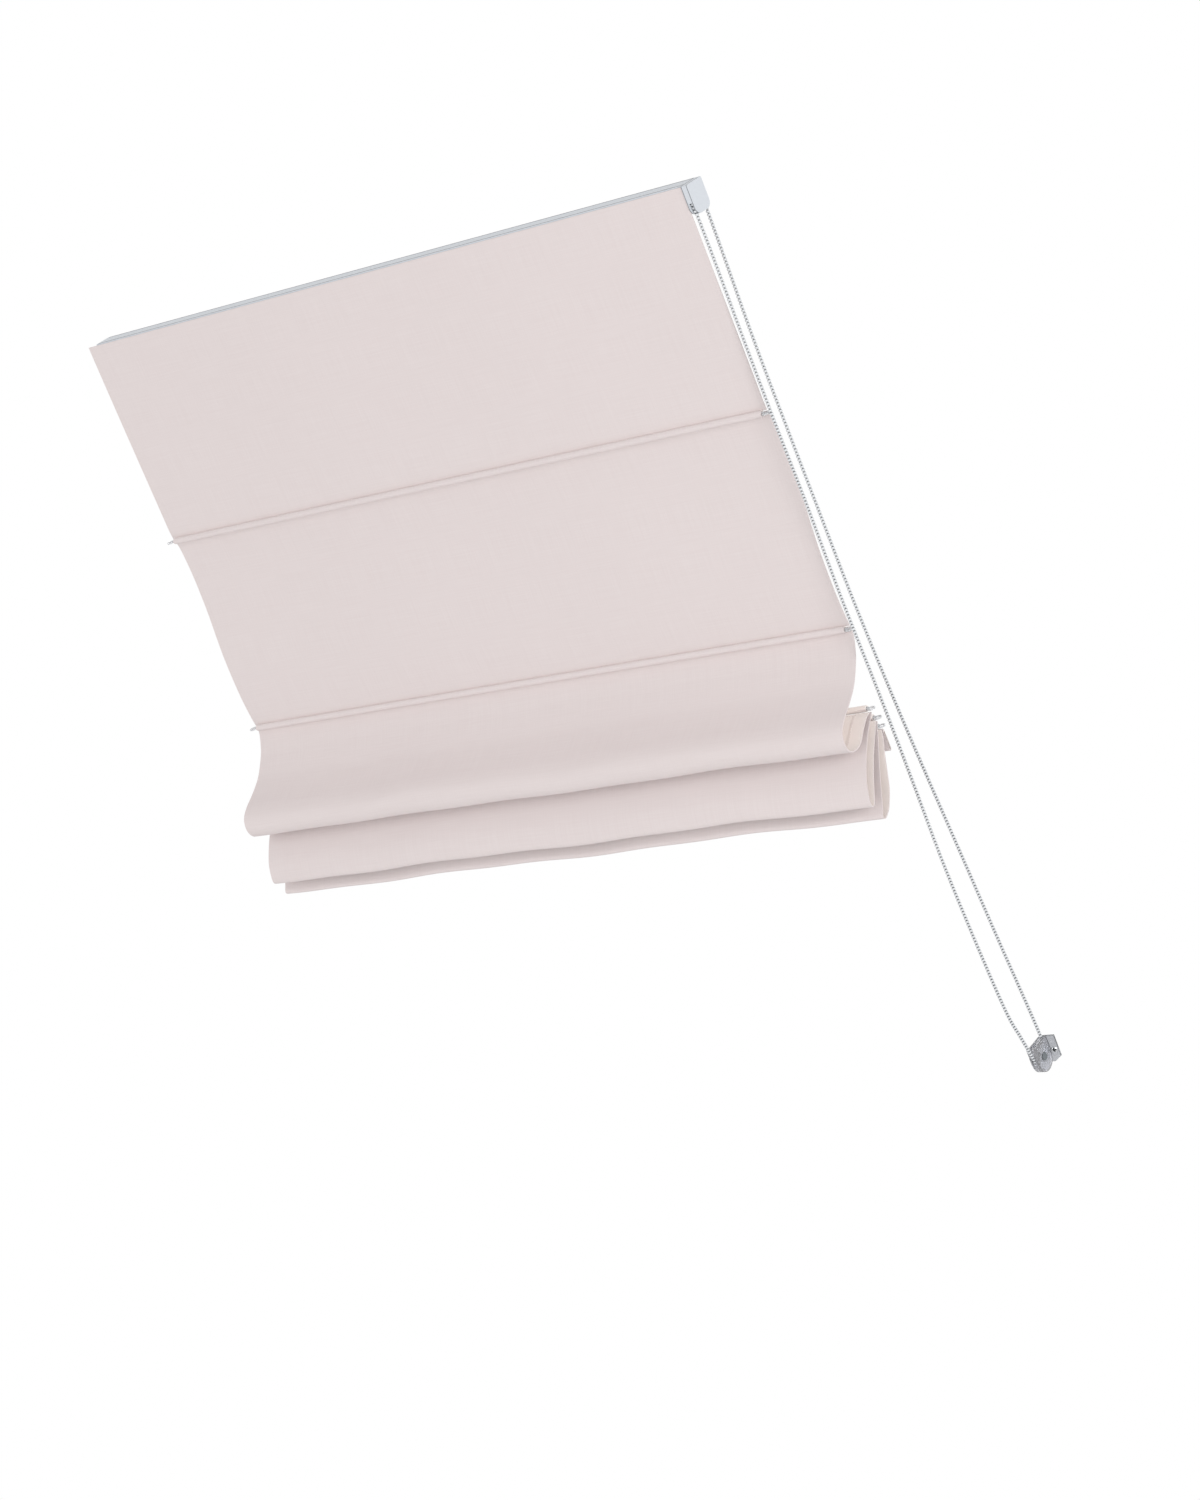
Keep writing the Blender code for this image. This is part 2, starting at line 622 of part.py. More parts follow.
def build_cradle(name, x, root, mats):
    """Cradle clipped in the rail: a roof with two cheeks that carry the spool's journals."""
    cradle = extruded(name, [plug_outline()], (x - CRADLE_HALF, x + CRADLE_HALF), root, mats["plastic"], 30)
    inner = (x - CRADLE_HALF + CRADLE_CHEEK, x + CRADLE_HALF - CRADLE_CHEEK)
    depths = (RAIL_FRONT, RAIL_BACK)
    room = box(f"{name}_room", inner, depths, (CRADLE_ROOF, RAIL_BOTTOM), root)
    boolean(cradle, room, "DIFFERENCE")
    centre = (x, SHAFT_DEPTH, SHAFT_DROP)
    bore = cylinder(f"{name}_bore", JOURNAL_RADIUS + GAP, 4 * CRADLE_HALF, centre, TURN_X, root)
    boolean(cradle, bore, "DIFFERENCE")


def build_chain(root, mats):
    """Endless bead chain as a plain tube: the free run, and the turn over the drive's wheel."""
    def across(drop):
        share = (drop - SHAFT_DROP) / (PULLEY_DROP - SHAFT_DROP)
        return WHEEL_X + (PULLEY_X - WHEEL_X) * share

    down = [(across(drop), depth, drop) for drop, depth in ROOM_STRAND]
    up = [(across(drop), depth, drop) for drop, depth in reversed(ROOF_STRAND)]
    under = [(PULLEY_X, PULLEY_DEPTH - PULLEY_RADIUS * math.cos(a), PULLEY_DROP + PULLEY_RADIUS * math.sin(a))
             for a in np.linspace(0, math.pi, 13)]
    start = (WHEEL_X, SHAFT_DEPTH - WHEEL_RADIUS, SHAFT_DROP)
    end = (WHEEL_X, SHAFT_DEPTH + WHEEL_RADIUS, SHAFT_DROP)
    run = [*smooth_route([start, *down, under[0]], 2), *under[1:-1], *smooth_route([under[-1], *up, end], 2)]
    tube("chain_run", run, BEAD_RADIUS, BEVEL_EIGHT, root, mats["chain"])
    margin = GAP / WHEEL_RADIUS
    top = [(WHEEL_X, SHAFT_DEPTH - WHEEL_RADIUS * math.cos(a), SHAFT_DROP - WHEEL_RADIUS * math.sin(a))
           for a in np.linspace(margin, math.pi - margin, 13)]
    tube("chain_top_turn", top, BEAD_RADIUS, BEVEL_EIGHT, root, mats["chain"])


def build_tensioner(root, pulley, mats):
    """Chain tensioner: a clear body, the pulley in it, the pulley's pin and the flange's screw."""
    slot_ends = (CHEEK_ENDS[0] + CHEEK_THICK, CHEEK_ENDS[1] - CHEEK_THICK)
    centre = (PULLEY_X, PULLEY_DEPTH, PULLEY_DROP)
    screw = (SCREW_X, WALL_DEPTH, SCREW_DROP)
    body = build_tensioner_body(slot_ends, root, mats)
    reach = 3 * (CHEEK_ENDS[1] - CHEEK_ENDS[0])
    bore = cylinder("pin_bore", PIN_BORE, reach, centre, TURN_X, root, sides=16)
    boolean(body, bore, "DIFFERENCE")
    hole = cylinder("screw_hole", SCREW_RADIUS + GAP, reach, screw, TURN_DEPTH, root, sides=16)
    boolean(body, hole, "DIFFERENCE")

    half = (slot_ends[1] - slot_ends[0]) / 2 - GAP
    rim = groove(PULLEY_RADIUS, half, PULLEY_RADIUS + RIM_RISE)
    wheel = [*rim, (PIN_BORE + GAP, -half), (PIN_BORE + GAP, half)]
    turned("tensioner_pulley", wheel, centre, TURN_X, pulley, mats["plastic"])

    under = CHEEK_ENDS[1] + GAP - PULLEY_X
    top = under + PIN_HEAD_THICK
    end = CHEEK_ENDS[0] - PULLEY_X
    pin = [(0, top), (PIN_HEAD - PIN_EDGE, top), (PIN_HEAD, top - PIN_EDGE), (PIN_HEAD, under),
           (PIN_RADIUS, under), (PIN_RADIUS, end), (0, end)]
    turned("tensioner_pin", pin, centre, TURN_X, root, mats["dark plastic"], steps=20)

    under = -FLANGE_THICK - GAP
    dome = [(SCREW_HEAD * math.cos(a), under - SCREW_DOME * SCREW_HEAD * math.sin(a))
            for a in np.linspace(0, math.pi / 2, 5)]
    profile = [(0, -GAP), (SCREW_RADIUS, -GAP), (SCREW_RADIUS, under), *dome[:-1], (0, dome[-1][1])]
    turned("tensioner_screw", profile, screw, TURN_DEPTH, root, mats["steel"], steps=16)


def bowl(radius, steps=12):
    """Lower half circle about the pulley, from its roof side to its room side."""
    angles = [math.pi * k / steps for k in range(steps + 1)]
    return [(PULLEY_DEPTH + radius * math.cos(a), PULLEY_DROP + radius * math.sin(a)) for a in angles]


def build_tensioner_body(slot_ends, root, mats):
    """Two D-shaped cheeks joined by a rim below and behind, with a flange on the lining."""
    back = PULLEY_DEPTH + CHEEK_RADIUS
    front = PULLEY_DEPTH - CHEEK_RADIUS
    outline = [(front, CHEEK_TOP), (back, CHEEK_TOP), *bowl(CHEEK_RADIUS)]
    body = extruded("tensioner_body", [outline], CHEEK_ENDS, root, mats["clear plastic"], 30)
    flange = rectangle((WALL_DEPTH - FLANGE_THICK, WALL_DEPTH), FLANGE_DROPS)
    boolean(body, extruded("tensioner_flange", [flange], FLANGE_XS, root), "UNION")
    radius = PULLEY_RADIUS + BEAD_RADIUS + GAP
    top = CHEEK_TOP - SLOT_TOP
    open_front = front - PAST
    lip = PULLEY_DROP - SLOT_LIP
    slot = [(open_front, top), (PULLEY_DEPTH + radius, top), *bowl(radius),
            (PULLEY_DEPTH - radius, lip), (open_front, lip)]
    boolean(body, extruded("tensioner_slot", [slot], slot_ends, root), "DIFFERENCE")
    return body


def build_panel(index, parent, mats):
    """One panel of cloth, a ribbon through its route given a thickness."""
    curve = bpy.data.curves.new("cloth", "CURVE")
    curve.dimensions = "2D"
    curve.fill_mode = "NONE"
    curve.extrude = CLOTH_WIDTH / 2
    curve.resolution_u = 3
    spline = curve.splines.new("BEZIER")
    route = PANELS[index]
    spline.bezier_points.add(len(route) - 1)
    for point, (drop, depth) in zip(spline.bezier_points, route):
        point.co = (depth - parent["depth"], parent["drop"] - drop, 0)
        point.handle_left_type = "AUTO"
        point.handle_right_type = "AUTO"
    obj = curve_piece(f"panel_{index + 1}", curve, ALONG_X)
    add(obj, parent, 0, parent["depth"], parent["drop"], mats["cloth"], smooth=50)
    solid = obj.modifiers.new("thickness", "SOLIDIFY")
    solid.thickness = CLOTH_THICK
    solid.offset = 0
    solid.use_even_offset = True


def ring_mesh(parent):
    """Mesh of a rod's end eye: a ring round the slope's direction with a plug for the rod pocket."""
    bpy.ops.mesh.primitive_torus_add(major_radius=RING_RADIUS, minor_radius=RING_WIRE,
                                     major_segments=16, minor_segments=6)
    ring = add(bpy.context.object, parent, RING_X, parent["depth"] + RING_OFFSET, parent["drop"])
    ends = (ROD_HALF + GAP, RING_X - RING_RADIUS + RING_WIRE / 2)
    centre = (sum(ends) / 2, parent["depth"], parent["drop"])
    plug = cylinder("ring_plug", ROD_RADIUS, ends[1] - ends[0], centre, TURN_X, parent, sides=12)
    boolean(ring, plug, "UNION")
    ring = baked(ring)
    mesh = ring.data
    bpy.data.objects.remove(ring)
    return mesh


def build_rod(index, parent, ring, mats):
    """A rod in its sewn pocket, with an eyelet for each lift cord and a clear eye at each end."""
    drop, depth = RODS[index]
    number = index + 1
    cylinder(f"rod_{number}", ROD_RADIUS, 2 * ROD_HALF, (0, depth, drop), TURN_X, parent,
             mats["fibreglass"], sides=12)
    loops = [circle(depth, drop, POCKET_RADIUS, 20), circle(depth, drop, POCKET_BORE, 12)]
    ends = (-POCKET_HALF, POCKET_HALF)
    pocket = extruded(f"rod_pocket_{number}", loops, ends, parent, mats["cloth"], 40)
    for side, name in ((-1, "left"), (1, "right")):
        x = side * CORD_X
        tip = depth + EYE_REACH + EYE_TIP
        start = depth + (POCKET_BORE + POCKET_RADIUS) / 3
        corner = 0.8 * EYE_HALF
        tab = rounded([(x - EYE_HALF, start, 0), (x - EYE_HALF, tip, corner),
                       (x + EYE_HALF, tip, corner), (x + EYE_HALF, start, 0)])
        hole = circle(x, depth + EYE_REACH, EYE_BORE, 12)
        middle = drop - EYE_RISE
        drops = (middle - EYE_THICK / 2, middle + EYE_THICK / 2)
        boolean(pocket, plate(f"eyelet_{number}_{name}", [tab, hole], drops, parent), "UNION")
        eye = bpy.data.objects.new(f"end_ring_{number}_{name}", ring)
        add(eye, parent, side * RING_X, depth + RING_OFFSET, drop, mats["clear plastic"], 40)
        eye.rotation_euler = (0, 0 if side > 0 else math.pi, 0)


def build_hem(parent, mats):
    """Hem sleeve below the last rod with the flat bottom bar inside it."""
    outer = rectangle((HEM_FRONT, HEM_BACK), (HEM_TOP, HEM_BOTTOM), HEM_CORNER)
    pocket = rectangle((HEM_FRONT + HEM_WALL, HEM_BACK - HEM_WALL), (BAR_TOP - GAP, BAR_BOTTOM + GAP))
    half = CLOTH_WIDTH / 2
    extruded("hem_sleeve", [outer, pocket], (-half, half), parent, mats["cloth"], 40)
    depths = (HEM_FRONT + HEM_WALL + GAP, HEM_BACK - HEM_WALL - GAP)
    bar = rectangle(depths, (BAR_TOP, BAR_BOTTOM), BAR_CORNER)
    extruded("bottom_bar", [bar], (-BAR_HALF, BAR_HALF), parent, mats["aluminium"], 40)


def build_lift_cords(root, lowest, mats):
    """Lift cords from the spools down behind the cloth, through the eyelets, to their locks."""
    for side, name in ((-1, "left"), (1, "right")):
        x = side * CORD_X
        route = [(x, SHAFT_DEPTH + WOUND_RADIUS, SHAFT_DROP + CORD_LEAVES), (x, *CORD_HANGS)]
        route += [(x, depth + EYE_REACH, drop - EYE_RISE) for drop, depth in RODS]
        last = RODS[-1]
        lock_top = last[0] - EYE_RISE + EYE_THICK / 2 + GAP
        route.append((x, last[1] + EYE_REACH, lock_top + CORD_TAIL * LOCK_HALF))
        tube(f"lift_cord_{name}", smooth_route(route, 6), CORD_RADIUS, BEVEL_EIGHT, root, mats["cord"])
        half = LOCK_HALF
        centre = (x, last[1] + EYE_REACH, lock_top + half)
        bore = CORD_RADIUS + GAP
        profile = [(2 * bore, half), (3 * bore, 0.8 * half), (3 * bore, -0.8 * half),
                   (2 * bore, -half), (bore, -half), (bore, half)]
        turned(f"cord_lock_{name}", profile, centre, UPRIGHT, lowest, mats["plastic"], steps=12)


def build_materials():
    """Materials of the blind, by what they are."""
    return {
        "aluminium": material("aluminium", "D5DAE1", 0.35, 0.6),
        "plastic": material("plastic", "D9DEE5", 0.45),
        "dark plastic": material("dark plastic", "3B4044", 0.5),
        "clear plastic": material("clear plastic", "C9D2CF", 0.2, transmission=0.6),
        "steel": material("steel", "A7ABAE", 0.35, 1.0),
        "strip": material("hook strip", "E4E4E2", 0.9),
        "cloth": material("cloth", "DED4D3", 0.9),
        "cord": material("cord", "EDEDEA", 0.8),
        "chain": material("chain", "DFE2E4", 0.35),
        "fibreglass": material("fibreglass", "E8E8E2", 0.6),
    }


def build():
    """The whole blind, hung on its joints."""
    mats = build_materials()
    root = joint("slope_frame", WALL_DEPTH, RAIL_MIDDLE)
    root.rotation_euler = (math.pi / 2 - ROOF_PITCH, 0, 0)
    drive = joint("drive_axis", SHAFT_DEPTH, SHAFT_DROP, root)
    pulley = joint("pulley_axis", PULLEY_DEPTH, PULLEY_DROP, root, PULLEY_X)
    slides = []
    for index, (drop, depth) in enumerate(RODS):
        above = slides[-1] if slides else root
        slides.append(joint(f"rod_{index + 1}_slide", depth, drop, above))
    build_rail(root, mats)
    build_hook_strip(root, mats)
    build_end_cap(root, mats)
    build_brackets(root, mats)
    build_drive(root, drive, mats)
    build_spools(root, drive, mats)
    build_chain(root, mats)
    build_tensioner(root, pulley, mats)
    ring = ring_mesh(slides[0])
    for index, slide in enumerate(slides):
        build_panel(index, slides[index - 1] if index else root, mats)
        build_rod(index, slide, ring, mats)
    build_hem(slides[-1], mats)
    build_lift_cords(root, slides[-1], mats)


clear_scene()
PARTS = collection("roof_window_blind")
TOOLS = collection("tools")
build()
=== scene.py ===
# %% [markdown]
# # Roman blind for a pitched roof window
# The blind hangs under a sloping roof: a rail with a chain drive, a cloth with five rods sewn
# across it, two lift cords behind it and an endless bead chain over a low pulley.
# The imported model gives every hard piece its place. This lesson dresses it: the camera and the
# cords, then the cloth, the seams, the finishes, the lamps and the floor.

import math

import bpy
import numpy as np
from mathutils import Matrix, Vector


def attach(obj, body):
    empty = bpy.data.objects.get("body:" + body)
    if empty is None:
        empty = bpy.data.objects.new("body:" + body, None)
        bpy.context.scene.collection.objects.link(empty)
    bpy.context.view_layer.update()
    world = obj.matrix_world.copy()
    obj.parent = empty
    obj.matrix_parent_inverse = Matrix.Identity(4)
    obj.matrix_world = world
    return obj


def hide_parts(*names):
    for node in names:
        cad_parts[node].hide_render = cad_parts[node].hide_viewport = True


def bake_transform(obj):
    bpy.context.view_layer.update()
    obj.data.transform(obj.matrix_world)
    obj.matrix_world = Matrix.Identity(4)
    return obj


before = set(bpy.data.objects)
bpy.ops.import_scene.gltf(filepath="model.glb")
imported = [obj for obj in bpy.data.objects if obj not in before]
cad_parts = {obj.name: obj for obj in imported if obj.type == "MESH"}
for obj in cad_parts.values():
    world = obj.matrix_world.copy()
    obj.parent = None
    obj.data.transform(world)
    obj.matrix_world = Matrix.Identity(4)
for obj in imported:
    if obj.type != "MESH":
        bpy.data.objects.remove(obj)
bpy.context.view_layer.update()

# %% [markdown]
# ## The slope frame
# Everything here lies along the roof, so a place is x along the rail, depth towards the roof and
# drop down the slope from the cloth's top edge. The world's origin is the back of the middle
# bracket, so two lengths and one angle turn one frame into the other.

# %% Slope frame
LEAN = math.radians(35.0)
WALL_DEPTH = 0.0288
RAIL_MIDDLE = 0.0140
SIDES = ("left", "right")


def to_world(places):
    """World points of (x, depth, drop): out = depth - wall, up = middle - drop, then the lean."""
    x, depth, drop = np.moveaxis(np.asarray(places, float), -1, 0)
    out, up = depth - WALL_DEPTH, RAIL_MIDDLE - drop
    return np.stack([x, out * math.cos(LEAN) - up * math.sin(LEAN),
                     out * math.sin(LEAN) + up * math.cos(LEAN)], -1)


def slope_places(items, what):
    """(x, depth, drop) of a vector that each vertex or face of a mesh has."""
    flat = np.empty(len(items) * 3, np.float32)
    items.foreach_get(what, flat)
    x, y, z = flat.astype(float).reshape(-1, 3).T
    out = y * math.cos(LEAN) + z * math.sin(LEAN)
    up = z * math.cos(LEAN) - y * math.sin(LEAN)
    return np.stack([x, out + WALL_DEPTH, RAIL_MIDDLE - up], 1)


def span(node):
    """Lowest and highest (x, depth, drop) of a CAD node."""
    places = slope_places(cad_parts[node].data.vertices, "co")
    return places.min(0), places.max(0)


def middle(node):
    """Middle of a CAD node's span."""
    return sum(span(node)) / 2


rods = [middle(f"rod_{number}") for number in range(1, 6)]
bodies = ["headrail_assembly", *(f"rod_{number}" for number in range(1, 6))]
shaft = middle("drive_shaft")
pulley = middle("tensioner_pulley")
print("rods at drop", [round(float(rod[2]), 4) for rod in rods])

# %% [markdown]
# ## The camera
# Two families of straight edges, the rail's and the slope's, meet in two vanishing points. They
# give both directions as the camera sees them (right, down, away), and these turn the camera. Its
# place follows from the cloth's real width of 0.85 m.

# %% Camera
RAIL_SEEN = (0.77493, -0.11585, -0.62134)
SLOPE_SEEN = (0.36422, 0.88527, 0.28920)
CAMERA_PLACE = (2.4763, -2.8422, -0.5524)
LENS = 85.482
SENSOR = 36.0


def placed(name, data):
    """New object in the scene."""
    obj = bpy.data.objects.new(name, data)
    bpy.context.scene.collection.objects.link(obj)
    return obj


axes = to_world([(0, 0, 0), (1, 0, 0), (0, 0, 1), (0, 1, 0)])
real = (axes[1:] - axes[0]).T
seen = np.stack([RAIL_SEEN, SLOPE_SEEN, np.cross(RAIL_SEEN, SLOPE_SEEN)])
turn = Matrix((real @ seen * (1, -1, -1)).tolist())
camera = placed("camera", bpy.data.cameras.new("camera"))
camera.data.lens = LENS
camera.data.sensor_width = SENSOR
camera.matrix_world = Matrix.Translation(Vector(to_world(CAMERA_PLACE))) @ turn.to_4x4()
bpy.context.scene.camera = camera
print("camera at", [round(v, 3) for v in camera.location])

# %% [markdown]
# ## Grids into meshes
# Every new piece is a surface of two parameters: a grid of points worked out at once with numpy.
# One function joins neighbours with quads, wrapping round where the surface closes, and one makes
# a mesh whose faces point outwards.

# %% Faces and pieces
METRES = "metres"


def cells(rows, columns, ring_rows=False):
    """Quads (n, 4) between neighbours, and their corners' unwrapped row and column. The columns
    close to a ring, and the rows too if asked."""
    row, column = np.indices((rows if ring_rows else rows - 1, columns)).reshape(2, -1)
    corners = np.stack([[row, column], [row, column + 1], [row + 1, column + 1], [row + 1, column]])
    corners = corners.transpose(2, 0, 1)
    return corners[..., 0] % rows * columns + corners[..., 1] % columns, corners


def capped(levels, sides):
    """Faces of a stack of rings with flat ends, in groups, and the quads' corners."""
    faces, corners = cells(levels, sides)
    first = np.arange(sides)[None]
    return [faces, first[:, ::-1], first + (levels - 1) * sides], corners


def joined(parts):
    """Several meshes as one: each part's faces are counted on from the parts before it."""
    points, groups, count = [], [], 0
    for made, faces in parts:
        groups += [group + count for group in faces]
        points.append(made)
        count += len(made)
    return np.concatenate(points), groups


def facing(points, faces):
    """Sign of the volume, a sixth of the sum of a . (b x c) over all triangles."""
    points = points - points.mean(0)
    total = 0.0
    for group in faces:
        for k in range(1, group.shape[1] - 1):
            a, b, c = (points[group[:, i]] for i in (0, k, k + 1))
            total += np.einsum("ij,ij->", a, np.cross(b, c))
    return -1 if total < 0 else 1


def piece(name, points, faces, body=None, uv=None, soft_angle=50):
    """Mesh object of points and groups of faces, turned outwards, with its pattern's metres."""
    points = points.reshape(-1, 3)
    way = facing(points, faces)
    mesh = bpy.data.meshes.new(name)
    listed = [face for group in faces for face in group[:, ::way].tolist()]
    mesh.from_pydata(points.tolist(), [], listed)
    if uv:
        flat = np.concatenate([values[:, ::way].reshape(-1, 2) for values in uv]).astype(np.float32)
        mesh.uv_layers.new(name=METRES).data.foreach_set("uv", flat.ravel())
    mesh.shade_smooth()
    mesh.set_sharp_from_angle(angle=math.radians(soft_angle))
    obj = placed(name, mesh)
    if body:
        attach(obj, body)
    return obj


print("a prism of 8 sides has", len(cells(2, 8)[0]) + 2, "faces")

# %% Routes and rings
def unit(vectors):
    """Vectors of length 1."""
    return vectors / np.linalg.norm(vectors, axis=-1, keepdims=True)


def smooth_route(knots, steps):
    """Catmull-Rom curve: half of 2b + (c - a)t + (2a - 5b + 4c - d)t^2 + (3b - a - 3c + d)t^3."""
    known = np.asarray(knots, float)
    ends = np.vstack([2 * known[0] - known[1], known, 2 * known[-1] - known[-2]])
    a, b, c, d = (ends[i : len(known) - 1 + i, None] for i in range(4))
    t = np.linspace(0, 1, steps, endpoint=False)[None, :, None]
    bend = (2 * a - 5 * b + 4 * c - d) * t**2 + (3 * b - a - 3 * c + d) * t**3
    curve = 0.5 * (2 * b + (c - a) * t + bend)
    return np.vstack([curve.reshape(-1, known.shape[1]), known[-1]])


def reach(path):
    """Distance along a path to each of its points."""
    return np.concatenate([[0], np.cumsum(np.linalg.norm(np.diff(path, axis=0), axis=1))])


def read_at(at, known, values):
    """Rows of values read between the known places."""
    return np.stack([np.interp(at, known, column) for column in values.T], -1)


def spaced(path, pitch):
    """Points a pitch apart along a path, a whole number of them, and the directions there."""
    distance = reach(path)
    count = round(distance[-1] / pitch)
    at = (np.arange(count) + 0.5) * distance[-1] / count
    ways = read_at(at, distance, np.gradient(path, distance, axis=0))
    return read_at(at, distance, path), unit(ways)


def rings(centres, ways, radii, sides, across):
    """Circles about a line: centre + radius (cos p A + sin p B), A and B square to the way."""
    first = unit(np.cross(ways, across))
    second = np.cross(ways, first)
    angle = np.linspace(0, 2 * math.pi, sides, endpoint=False)[:, None]
    circle = np.cos(angle) * first[..., None, :] + np.sin(angle) * second[..., None, :]
    return centres[..., None, :] + np.asarray(radii)[..., None, None] * circle


def circle(angle, radius, centre):
    """Points of a plane at centre + radius (cos a, sin a)."""
    return np.stack([centre[0] + radius * np.cos(angle), centre[1] + radius * np.sin(angle)], -1)


def wave(x, length, phase=0.0):
    """Sine wave of a length in metres."""
    return np.sin(2 * math.pi * x / length + phase)


print("a straight route of 2 m has", reach(np.array([(0, 0), (2, 0)]))[-1])

# %% [markdown]
# ## Nodes and colours
# Colours are sRGB hex values, as a colour chart gives them, and one function turns them to the
# linear values that shaders count in. The others name what is used often, so that a material
# reads as a short recipe.

# %% Node and colour helpers
BANDS_PER_UNIT = 20 / (2 * math.pi)
SHADER = "Principled BSDF"


def colour(code):
    """Linear RGBA of a hex sRGB colour."""
    channels = np.array([int(code[i : i + 2], 16) for i in (1, 3, 5)]) / 255
    linear = np.where(channels <= 0.04045, channels / 12.92, ((channels + 0.055) / 1.055) ** 2.4)
    return (*linear.tolist(), 1.0)


def add_node(tree, kind, inputs, **options):
    """New node's outputs: options first, then each input gets a link or a plain value."""
    made = tree.nodes.new("ShaderNode" + kind)
    for option, value in options.items():
        setattr(made, option, value)
    for name, value in inputs.items():
        if isinstance(value, bpy.types.NodeSocket):
            tree.links.new(value, made.inputs[name])
        else:
            made.inputs[name].default_value = value
    return made.outputs


def finish(name, **sockets):
    """Material with one Principled shader; an underscore stands for a socket's space."""
    material = bpy.data.materials.new(name)
    material.use_nodes = True
    for socket, value in sockets.items():
        inputs = material.node_tree.nodes[SHADER].inputs
        inputs[socket.replace("_", " ")].default_value = value
    return material, material.node_tree


def feed(tree, **sources):
    """Link other nodes' outputs to the shader's sockets."""
    for socket, source in sources.items():
        tree.links.new(source, tree.nodes[SHADER].inputs[socket.replace("_", " ")])


def maths(tree, operation, first, second=0.0):
    """One operation on two values."""
    return add_node(tree, "Math", {0: first, 1: second}, operation=operation)[0]


def ramp(tree, value, start, end, low=0.0, high=1.0):
    """Value mapped so that start gives low and end gives high."""
    limits = {"From Min": start, "From Max": end, "To Min": low, "To Max": high}
    return add_node(tree, "MapRange", {"Value": value, **limits})[0]


def mixed(tree, share, first, second):
    """Colour between two, hex values or outputs."""
    first, second = (colour(code) if isinstance(code, str) else code for code in (first, second))
    tints = {0: share, 6: first, 7: second}
    return add_node(tree, "Mix", tints, data_type="RGBA")[2]


def blotches(tree, place, scale, detail):
    """Soft noise over a place."""
    noise = {"Vector": place, "Scale": scale, "Detail": detail}
    return add_node(tree, "TexNoise", noise)["Fac"]


def bands(tree, place, pitch, axis="X", uneven=0.0):
    """Soft stripes, one every pitch along an axis, straight or a little uneven."""
    stripes = {"Vector": place, "Scale": 1 / (BANDS_PER_UNIT * pitch), "Distortion": uneven,
               "Detail Scale": 0.5}
    return add_node(tree, "TexWave", stripes, bands_direction=axis)["Fac"]


def relief(tree, height, strength, depth):
    """Normal of a surface whose height follows a value, up to a depth in metres."""
    bump = {"Height": height, "Strength": strength, "Distance": depth}
    return add_node(tree, "Bump", bump)["Normal"]


def turned(tree, place, **change):
    """Place with a Rotation or a Scale."""
    return add_node(tree, "Mapping", {"Vector": place, **change})["Vector"]


def split(tree, place):
    """Outputs X, Y and Z of a place."""
    return add_node(tree, "SeparateXYZ", {"Vector": place})


def metres(tree):
    """The pattern's metres, across and along the piece."""
    return add_node(tree, "UVMap", {}, uv_map=METRES)["UV"]


def on_slope(tree):
    """Object coordinates turned so that x, y and z run along rail, depth and rise."""
    source = add_node(tree, "TexCoord", {})["Object"]
    return turned(tree, source, Rotation=(-LEAN, 0, 0))


print("white is", colour("#FFFFFF")[:3])

# %% Dressing helpers
def paint(obj, *materials, second=()):
    """Give an object its materials; second marks the faces with the second one."""
    obj.data.materials.clear()
    for material in materials:
        obj.data.materials.append(material)
    index = np.zeros(len(obj.data.polygons), np.int32)
    index[: len(second)] = second
    obj.data.polygons.foreach_set("material_index", index)


def dress(obj, node, slot, *materials):
    """Hide the CAD node that a piece stands in for, and paint the piece; slot is not used."""
    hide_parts(node)
    if materials:
        paint(obj, *materials)


print("nodes to dress", len(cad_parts))

# %% [markdown]
# ## Lift cords
# A lift cord is braided polyester, 1.2 mm thick. It comes down from its spool behind the cloth,
# through an eye on every rod, to a lock under the lowest one, and the cloth's weight keeps it
# straight. Each stretch between two rods is a piece of its own, and the last hangs from the lowest
# rod.

# %% Braided cord finish
BRAID_PITCH = 0.0016

# Two families of strands cross at a slant and leave fine dimples.
CORD, tree = finish("braided_polyester_cord", Roughness=0.75)
place = metres(tree)
strands = [bands(tree, turned(tree, place, Rotation=(0, 0, math.radians(slant))), BRAID_PITCH)
           for slant in (-45, 45)]
both = maths(tree, "MULTIPLY", *strands)
feed(tree, Base_Color=mixed(tree, both, "#DADAD4", "#F4F4F0"),
     Normal=relief(tree, both, 0.6, 0.0001))
print("made", CORD.name)

# %% Lift cord stretches
CORD_RADIUS = 0.0006
CORD_SIDES = 10
SPOOL_SIDE = 0.0072
SPOOL_BELOW = 0.0060
HANG_PLACE = (0.0145, 0.1300)
EYE_REACH = 0.0116
EYE_RISE = 0.0024
LOCK_DROP = 0.0024
STEPS = 12


def tube(name, route, radius, sides, body=None, across=(1, 0, 0)):
    """Round cord with flat ends: rings of one radius about every point of its route."""
    points = rings(route, unit(np.gradient(route, axis=0)), radius, sides, across)
    faces, corners = capped(len(route), sides)
    round_it = corners[..., 1] * 2 * math.pi * radius / sides
    uv = np.stack([round_it, reach(route)[corners[..., 0]]], -1)
    return piece(name, points, faces, body, [uv, *[np.zeros((1, sides, 2))] * 2])


def cord_knots(side):
    """Knots (x, depth, drop): spool, a point behind the cloth, the rods' eyes and the lock."""
    x = middle(f"spool_{side}")[0]
    eyes = [(x, rod[1] + EYE_REACH, rod[2] - EYE_RISE) for rod in rods]
    lock = middle(f"cord_lock_{side}")
    top = (x, shaft[1] + SPOOL_SIDE, shaft[2] + SPOOL_BELOW)
    return [top, (x, *HANG_PLACE), *eyes, (x, lock[1], lock[2] + LOCK_DROP)]


